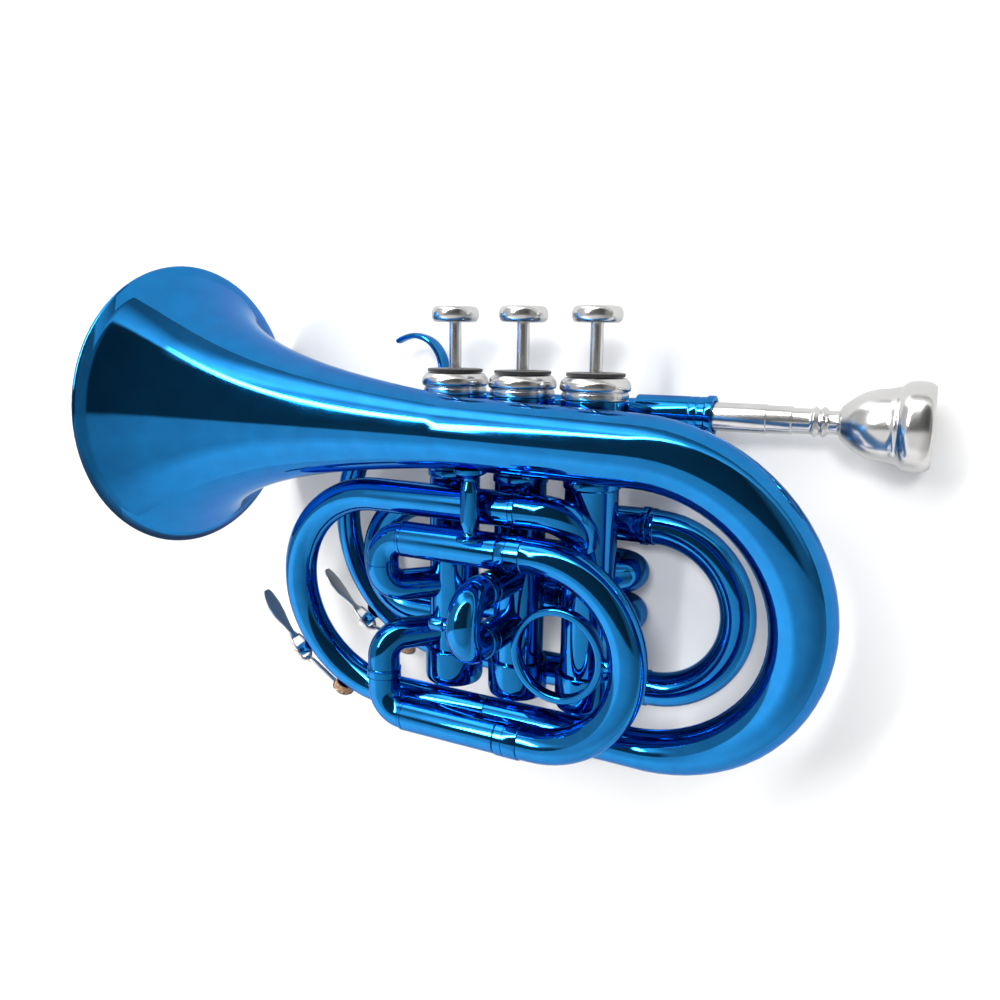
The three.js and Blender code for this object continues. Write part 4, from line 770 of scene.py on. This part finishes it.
# %% Mouthpiece and receiver
MOUTHPIECE_OUTLINE = [
    (3.9, 41.8, 0), (4.45, 41.8, 0.1), (4.75, 62.8, 0), (4.75, 79.8, 0.2), (4.5, 80, 0.1),
    (4.5, 87.6, 0.2), (4.1, 87.9, 0.2), (4.1, 93.4, 0.3), (4.3, 93.9, 0.2), (4.95, 94.5, 0.3),
    (4.3, 95.3, 0.3), (3.9, 95.9, 0.2), (4.3, 96.4, 0.3), (4.95, 97.2, 0.3), (4.3, 98, 0.3),
    (3.6, 98.6, 0.5), (3.8, 101.6, 0.3), (5.4, 102.4, 0.6), (8.4, 106, 1.5), (10.2, 109.2, 1.6),
    (11, 112.4, 1.6), (11.4, 116.4, 0.8), (11.9, 117.6, 0.4), (11.9, 118.6, 0.3),
    (12.9, 119.6, 0.5), (13.75, 121.2, 1.2), (13.75, 125.6, 1.4), (12.6, 128.2, 1.4),
    (10.1, 128.2, 1), (8.3, 126.6, 1), (6.4, 119.6, 2), (4.2, 116.2, 1.2), (1.9, 114.1, 0.5)]
turned("turned_mouthpiece", MOUTHPIECE_OUTLINE, (0, LEADPIPE_Y, LEADPIPE_Z), X, plate,
       "mouthpiece_body", "mouthpiece", sides=96)
heights = [height for _, height, _ in MOUTHPIECE_OUTLINE]
print("mouthpiece length in mm:", round(max(heights) - min(heights), 1))

RECEIVER_OUTLINE = [
    (5.2, 36.4, 0), (6.3, 36.4, 0.3), (6.3, 54.6, 0.1), (6.05, 54.8, 0.1), (6.05, 55.2, 0.1),
    (6.3, 55.4, 0.1), (6.3, 57.4, 0.1), (6.05, 57.6, 0.1), (6.05, 58, 0.1), (6.3, 58.2, 0.1),
    (6.3, 60.2, 0.1), (6.85, 60.6, 0.3), (6.85, 62.8, 0.3), (5.2, 62.8, 0.1)]
turned("receiver_sleeve", RECEIVER_OUTLINE, (0, LEADPIPE_Y, LEADPIPE_Z), X, lacquer, "horn",
       "mouthpiece_receiver")

# %% [markdown]
# ## Small fittings
# The finger ring is a flat band with soft edges, on a short post. The brace between the bell and
# the third slide is a barrel on two thin flanges, and the hook is a bent strip for the little
# finger.

# %% Finger ring and its post
RING_AT, RING_RADIUS, RING_INNER = Vector((24.4, -86.2, THIRD_Z)), 16.4, 13.9
RING_OUTLINE = [(RING_INNER, -2.2, 0.7), (RING_RADIUS, -2.2, 0.7), (RING_RADIUS, 2.2, 0.7),
                (RING_INNER, 2.2, 0.7)]
turned("finger_ring_band", RING_OUTLINE, RING_AT, Z, lacquer, "third_slide", "finger_ring",
       sides=96)
ring_edge = RING_AT.x + RING_RADIUS
post_length = THIRD_BOW_X + third_radius - BOW - ring_edge
POST_OUTLINE = [(0, 0, 0), (2.9, 0, 0.2), (2.3, 0.7, 0.3), (2.3, post_length - 0.4, 0.4),
                (3.2, post_length + 0.6, 0.3), (0, post_length + 0.6, 0)]
post_at = (ring_edge - 0.1, (THIRD_UPPER_Y + THIRD_LOWER_Y) / 2, THIRD_Z)
turned("ring_post", POST_OUTLINE, post_at, X, lacquer, "third_slide", closed=False, sides=32)
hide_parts("third_crook")
print("ring post length in mm:", round(post_length, 1))

# %% Second slide's pull knob
knob_at = (-BOW + SECOND_SLIM + 0.3, (SECOND_UPPER_Y + SECOND_LOWER_Y) / 2,
           SECOND_BOW_Z + second_radius)
KNOB_OUTLINE = [(0, -1, 0), (1.4, -1, 0), (1.4, 1.2, 0.2), (2.2, 1.6, 0.4), (2.3, 5.6, 0.5),
                (1.7, 6.7, 0.4), (0, 6.8, 0)]
turned("pull_knob", KNOB_OUTLINE, knob_at, -X, lacquer, "second_slide", closed=False, sides=32)
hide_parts("second_crook")

# %% Bell brace
BRACE_X, BRACE_Z = -6.2, 25.6
brace_top, brace_foot = -26.9, -49.6
middle, quarter = (brace_top + brace_foot) / 2, (brace_top - brace_foot) / 4
BRACE_OUTLINE = [
    (0, brace_foot, 0), (4.6, brace_foot - 0.4, 0), (4.6, brace_foot + 0.7, 0.3),
    (2.6, brace_foot + 1.4, 0.5), (2.1, brace_foot + 2.6, 0.6), (3.3, middle - quarter, 0.8),
    (3.3, middle + quarter, 0.8), (2.1, brace_top - 2.6, 0.6), (2.6, brace_top - 1.6, 0.5),
    (5.4, brace_top - 0.2, 0.3), (5.4, brace_top + 1.2, 0), (0, brace_top + 1.2, 0)]
turned("barrel_brace", BRACE_OUTLINE, (BRACE_X, 0, BRACE_Z), Y, lacquer, "horn", "bell_brace",
       closed=False, sides=40)

# %% [markdown]
# The hook is a flat strip that was bent over a former and soldered to the leadpipe. It is swept as
# a rounded bar along a curve through a few points, thinner towards its tip.

# %% A bar swept through points
CURVE_STEPS = 8
BAR_SIDES = 16
BAR_SOFTNESS = 0.6  # 1 makes the bar's outline an ellipse, less makes it squarer


def curve_through(knots):
    """A smooth curve through the knots, as a list of points."""
    points = []
    for at in range(len(knots) - 1):
        before = Vector(knots[max(at - 1, 0)])
        start, end = Vector(knots[at]), Vector(knots[at + 1])
        after = Vector(knots[min(at + 2, len(knots) - 1)])
        for step in range(CURVE_STEPS):
            t = step / CURVE_STEPS
            points.append(0.5 * (2 * start + (end - before) * t
                                 + (2 * before - 5 * start + 4 * end - after) * t ** 2
                                 + (3 * start - before - 3 * end + after) * t ** 3))
    return points + [Vector(knots[-1])]


def bar(knots, widths, thicknesses, broad):
    """A bar's points and faces. broad is the way of its width; sizes are full, at each knot."""
    path = curve_through(knots)

    def between(values, at):
        low = min(int(at), len(values) - 2)
        return values[low] + (values[low + 1] - values[low]) * (at - low)

    points = []
    for index, place in enumerate(path):
        ahead = (path[min(index + 1, len(path) - 1)] - path[max(index - 1, 0)]).normalized()
        wide = (broad - ahead * broad.dot(ahead)).normalized()
        thin = ahead.cross(wide)
        at = index / CURVE_STEPS
        width, thick = between(widths, at), between(thicknesses, at)
        for side in range(BAR_SIDES):
            turn = 2 * math.pi * side / BAR_SIDES
            flat = [math.copysign(abs(value) ** BAR_SOFTNESS, value)
                    for value in (math.cos(turn), math.sin(turn))]
            points.append(place + wide * flat[0] * width / 2 + thin * flat[1] * thick / 2)
    ends = [tuple(range(BAR_SIDES)), tuple(range(len(points) - BAR_SIDES, len(points)))]
    return points, grid_faces(len(path), BAR_SIDES, rows_close=False) + ends


def joined(meshes):
    """Several lists of points and faces as one."""
    all_points, all_faces = [], []
    for points, faces in meshes:
        start = len(all_points)
        all_points += points
        all_faces += [tuple(start + index for index in face) for face in faces]
    return all_points, all_faces


# %% Little finger hook
HOOK_KNOTS = [(x, y, LEADPIPE_Z) for x, y in (
    (-41.4, -3), (-41.4, 2), (-42.6, 9), (-46.8, 14.6), (-53, 17), (-58.4, 16.4),
    (-62.2, 14.8))]
HOOK_WIDTHS = [6.4, 6.4, 6.4, 6.3, 6, 5.4, 4.4]
HOOK_THICKNESSES = [2.6, 2.6, 2.4, 2.3, 2.2, 2, 1.7]
points, faces = bar(HOOK_KNOTS, HOOK_WIDTHS, HOOK_THICKNESSES, Z)
make_piece("little_finger_hook", points, faces, lacquer, "horn", "finger_hook")
print("hook:", len(faces), "faces")

# %% [markdown]
# ## Water keys
# A water key lets the player empty the tube: a lever with a leaf-shaped touch at one end and a cork
# at the other rocks on a pin through a blue post. Both keys are alike, so one function makes them.
# It works in the key's own directions: along the tube, out from it, and along the pin.

# %% Water keys
KEY_HEIGHT = 6.8  # the pin's axis over the tube
NIPPLE_HEIGHT = 1.3


def water_key(prefix, loop, key_angle, cork_angle):
    up, surface = loop["up"], loop["radius"] + loop["tube"]

    def outward(angle):
        return X * math.cos(math.radians(angle)) + up * math.sin(math.radians(angle))

    out, along = outward(key_angle), outward(key_angle + 90)
    pin = along.cross(out)
    pivot = loop["centre"] + out * (surface + KEY_HEIGHT)

    def local(x, y, z=0):
        return pivot + along * x + out * y + pin * z

    body = prefix + "_key"
    post = [(0, -6.9, 0), (4.2, -7.2, 0.1), (3.4, -6, 0.6), (2.5, -4.6, 0.6), (2.4, 1.4, 0.6),
            (1.6, 2, 0.4), (0, 2, 0)]
    turned(prefix + "_key_post", post, pivot, out, lacquer, "horn", prefix + "_key_saddle",
           closed=False, sides=40)
    head = [(0, 2.7, 0), (0.8, 2.7, 0), (0.8, 3.7, 0), (1.5, 3.75, 0.2), (1.5, 4.2, 0.4),
            (0, 4.4, 0)]
    for side, name in ((1, "near"), (-1, "far")):
        turned(f"{prefix}_pin_{name}_head", head, pivot, pin * side, plate, "horn", closed=False,
               sides=28)

    swing = math.radians(cork_angle - key_angle)
    lift = Vector((math.sin(swing), math.cos(swing)))
    lift_3d = along * lift.x + out * lift.y
    seat_flat = lift * (surface + NIPPLE_HEIGHT) - Vector((0, surface + KEY_HEIGHT))
    seat = local(*seat_flat)
    cork_outline = [(0, -0.1, 0), (3.8, -0.1, 0.4), (4.05, 1.2, 0.6), (4, 2.7, 0.2), (0, 2.7, 0)]
    turned(prefix + "_cork_pad", cork_outline, seat, lift_3d, cork, body, prefix + "_key_cork",
           closed=False, sides=36)
    cup = [(4.1, 2.2, 0.1), (4.5, 2.2, 0.2), (4.4, 3, 0.5), (2.4, 3.5, 0.6), (0, 3.6, 0),
           (0, 2.8, 0), (4.1, 2.8, 0)]
    turned(prefix + "_cork_cup", cup, seat, lift_3d, plate, body, closed=False, sides=40)
    nipple = [(2, -1.2, 0), (3.9, -1.2, 0), (3.2, -0.5, 0.3), (3.1, -0.3, 0.1), (2, -0.3, 0.1)]
    turned(prefix + "_drain_nipple", nipple, seat, lift_3d, lacquer, "horn", sides=36)

    cup_top = seat_flat + lift * 3.2
    arm = [local(3.6, 0.5), local(5.4, -0.4), local(7, -1.8),
           local(cup_top.x - 3.2, cup_top.y + 1.4), local(cup_top.x, cup_top.y + 0.3)]
    parts = [bar(arm, [4, 2.6, 2, 2.2, 2.8], [1.8, 1.6, 1.4, 1.2, 0.9], pin)]
    for side in (1, -1):
        cheek = [local(4.4, 0.4, side * 1.4), local(2.8, 0.6, side * 2.8), local(0, 0, side * 3.15),
                 local(-3.2, 0.2, side * 3.1), local(-6.4, 0.4, side * 2.2)]
        parts.append(bar(cheek, [1.8, 2, 2.6, 1.9, 1.6], [1.1, 1, 0.9, 0.9, 1], out))
    leaf = [local(-5.6, 0.3), local(-8.6, 0.5), local(-12, 0.7), local(-17, 0.9), local(-22, 0.7),
            local(-26.4, 0.3), local(-28.6, -0.1)]
    parts.append(bar(leaf, [5.2, 2.6, 3.6, 6.2, 6.8, 5.2, 2.2],
                     [1.4, 1.4, 1.3, 1.2, 1.2, 1.1, 0.9], pin))
    make_piece(prefix + "_lever", *joined(parts), satin, body, prefix + "_key_lever")
    print(prefix, "key pivot in mm:", [round(value, 1) for value in pivot])


water_key("near", tail_loop, 215, 241)
water_key("far", lead_loop, 226.5, 247)

# %% [markdown]
# ## Stage and light
# The camera's place and its three turns were fitted to the photograph. Its lens is a share of the
# sensor's width.

# %% Camera at the photograph's viewing angle
PHOTO_TURN, PHOTO_LIFT, PHOTO_ROLL = math.radians(26.75), math.radians(10.90), math.radians(0.81)
PHOTO_PLACE = (127.74, 16.21, 265.57)
PHOTO_SHARE = 0.84615
PHOTO_SHIFT = (-0.00496, 0.00213)
SENSOR_WIDTH = 36

back = Vector((math.sin(PHOTO_TURN) * math.cos(PHOTO_LIFT), math.sin(PHOTO_LIFT),
               math.cos(PHOTO_TURN) * math.cos(PHOTO_LIFT)))
level = Vector((math.cos(PHOTO_TURN), 0, -math.sin(PHOTO_TURN)))
upright = back.cross(level)
right = level * math.cos(PHOTO_ROLL) + upright * math.sin(PHOTO_ROLL)
overhead = upright * math.cos(PHOTO_ROLL) - level * math.sin(PHOTO_ROLL)
camera_data = bpy.data.cameras.new("photo_camera")
camera_data.sensor_width = SENSOR_WIDTH
camera_data.lens = SENSOR_WIDTH * PHOTO_SHARE
camera_data.shift_x, camera_data.shift_y = PHOTO_SHIFT
camera_data.clip_start, camera_data.clip_end = 0.01, 20
camera = bpy.data.objects.new("photo_camera", camera_data)
camera.matrix_world = Matrix((
    (right.x, overhead.x, back.x, 0), (right.y, overhead.y, back.y, 0),
    (right.z, overhead.z, back.z, 0), (0, 0, 0, 1)))
camera.location = in_metres(PHOTO_PLACE)
bpy.context.scene.collection.objects.link(camera)
bpy.context.scene.camera = camera
print("camera in mm:", [round(value * 1000, 1) for value in camera.location])

# %% [markdown]
# The floor is matt white paper that glows faintly for the camera. The mirrors see a greyer paper,
# which keeps the undersides of the tubes blue. It keeps a soft shadow.

# %% Floor
FLOOR_SIZE = 6
FLOOR_GLOW = 0.13


def white_floor():
    material = bpy.data.materials.new("matt_white_sweep")
    material.use_nodes = True
    tree = material.node_tree
    tree.nodes.clear()
    add = partial(add_node, tree)
    rays = add("LightPath")
    paper = add("BsdfDiffuse", Color=colour("dedede"))
    glow = add("Emission", Color=colour("ffffff"), Strength=FLOOR_GLOW)
    seen = add("AddShader", None, (paper, "BSDF"), (glow, "Emission"))
    mirrored = add("BsdfDiffuse", Color=colour("c8c8c8"))
    dimmed = add("MixShader", None, (rays, "Is Glossy Ray"), (paper, "BSDF"), (mirrored, "BSDF"))
    choose = add("MixShader", None, (rays, "Is Camera Ray"), (dimmed, "Shader"), (seen, "Shader"))
    add("OutputMaterial", Surface=(choose, "Shader"))
    return material


bpy.ops.mesh.primitive_plane_add(size=FLOOR_SIZE, location=(0, 0, 0))
floor = bpy.context.object
floor.name = "white_floor"
floor.data.materials.append(white_floor())
print("floor in metres:", FLOOR_SIZE)

# %% [markdown]
# A mirror shows the room, so most of the look of this horn is the studio round it. White paper
# walls stand all round, with an opening that the camera looks through. The opening is dark and runs
# on to the left as a low slot. Lamps shine along its upper left edge, a strip light hangs high on
# the left, and a pale table fills the lower part of the view, brightest at its far end. The left
# side of the room is lighter than the right. That gives each tube a bright stripe with a hard edge,
# a dark band, and a broad calm blue. Each part of the room is a grey ramp over how far a direction
# leans up, to the front or to the left, from -1 to 1. The steps put the parts together.

# %% Studio world
ROOM_RAMPS = (
    ("walls", "front", ((0, 0.5), (0.38, 0.52), (0.5, 0.57), (0.64, 0.68), (1, 0.78))),
    ("opening", "front", ((0.64, 0), (0.67, 0.84), (1, 0.87))),
    ("opening_side", "left", ((-0.6, 0), (-0.35, 1))),
    ("slot", "front", ((0.5, 0), (0.54, 0.8), (1, 0.87))),
    ("slot_height", "up", ((0.04, 1), (0.1, 0))),
    ("edge_glow", "front", ((0.42, 0), (0.54, 1.05), (0.64, 1.8), (0.67, 0))),
    ("glow_height", "up", ((-0.05, 0), (0.3, 1))),
    ("lamps", "front", ((0.59, 0), (0.6, 50), (0.645, 50), (0.65, 0))),
    ("lamp_height", "up", ((0.08, 0), (0.13, 1))),
    ("lamp_side", "left", ((0, 0), (0.45, 1))),
    ("strip", "up", ((0.68, 0), (0.76, 2.4), (0.88, 2.4), (0.95, 0))),
    ("above_table", "up", ((-0.31, 0), (-0.26, 1))),
    ("table", "up", ((-1, 1), (-0.6, 1.32), (-0.31, 1.28), (-0.26, 0))),
    ("table_depth", "front", ((0.25, 1.2), (0.48, 0.7), (1, 0.6))),
    ("light_side", "left", ((-1, 0.35), (-0.6, 0.42), (-0.15, 0.68), (0.1, 0.84), (0.7, 1))),
)
ROOM_STEPS = (
    ("low_slot", "MULTIPLY", "slot", "slot_height"),
    ("dark_front", "MAXIMUM", "opening", "low_slot"),
    ("dark_share", "MULTIPLY", "dark_front", "opening_side"),
    ("dark_part", "MULTIPLY", "walls", "dark_share"),
    ("lit_walls", "SUBTRACT", "walls", "dark_part"),
    ("upper_glow", "MULTIPLY", "edge_glow", "glow_height"),
    ("high_lamps", "MULTIPLY", "lamps", "lamp_height"),
    ("all_lamps", "ADD", "high_lamps", "strip"),
    ("left_lamps", "MULTIPLY", "all_lamps", "lamp_side"),
    ("lights", "ADD", "upper_glow", "left_lamps"),
    ("walls_and_lights", "ADD", "lit_walls", "lights"),
    ("upper_room", "MULTIPLY", "walls_and_lights", "above_table"),
    ("lit_table", "MULTIPLY", "table", "table_depth"),
    ("whole_room", "ADD", "upper_room", "lit_table"),
    ("shaded_room", "MULTIPLY", "whole_room", "light_side"),
)


def studio_world():
    world = bpy.data.worlds.new("studio")
    bpy.context.scene.world = world
    world.use_nodes = True
    tree = world.node_tree
    tree.nodes.clear()
    add = partial(add_node, tree)
    place = add("TexCoord")
    made = {}
    for name, direction in (("up", overhead), ("front", back), ("left", -right)):
        lean = add("VectorMath", {"operation": "DOT_PRODUCT"}, (place, "Generated"), direction)
        made[name] = add("MapRange", Value=(lean, "Value"), From_Min=-1, From_Max=1)
    for name, direction, levels in ROOM_RAMPS:
        made[name] = add("ValToRGB", Fac=(made[direction], "Result"))
        lay_stops(made[name], *(((lean + 1) / 2, (level, level, level, 1))
                                for lean, level in levels))
    for name, operation, first, second in ROOM_STEPS:
        made[name] = add("Math", {"operation": operation}, (made[first], 0), (made[second], 0))
    rays = add("LightPath")
    room = add("Background", Color=colour("ffffff"), Strength=(made["shaded_room"], "Value"))
    paper = add("Background", Color=colour("ffffff"), Strength=1)
    choose = add("MixShader", None, (rays, "Is Camera Ray"),
                 (room, "Background"), (paper, "Background"))
    add("OutputWorld", Surface=(choose, "Shader"))


studio_world()
print("room parts:", len(ROOM_RAMPS), "put together in", len(ROOM_STEPS), "steps")

# %% [markdown]
# One broad lamp near the camera throws the soft shadow on the floor. The mirrors don't show it.

# %% Key light for the shadow
SUN_STRENGTH, SUN_WIDTH = 1.3, math.radians(12)

toward_light = (back * 1.09 - right * 0.27 + overhead * 0.25).normalized()
sun_data = bpy.data.lights.new("key", "SUN")
sun_data.energy, sun_data.angle = SUN_STRENGTH, SUN_WIDTH
sun = bpy.data.objects.new("key", sun_data)
sun.rotation_mode = "QUATERNION"
sun.rotation_quaternion = toward_light.to_track_quat("Z", "Y")
sun.visible_glossy = False
bpy.context.scene.collection.objects.link(sun)
print("light comes from:", [round(value, 2) for value in toward_light])

# %% Plain view transform
bpy.context.scene.view_settings.view_transform = "Standard"
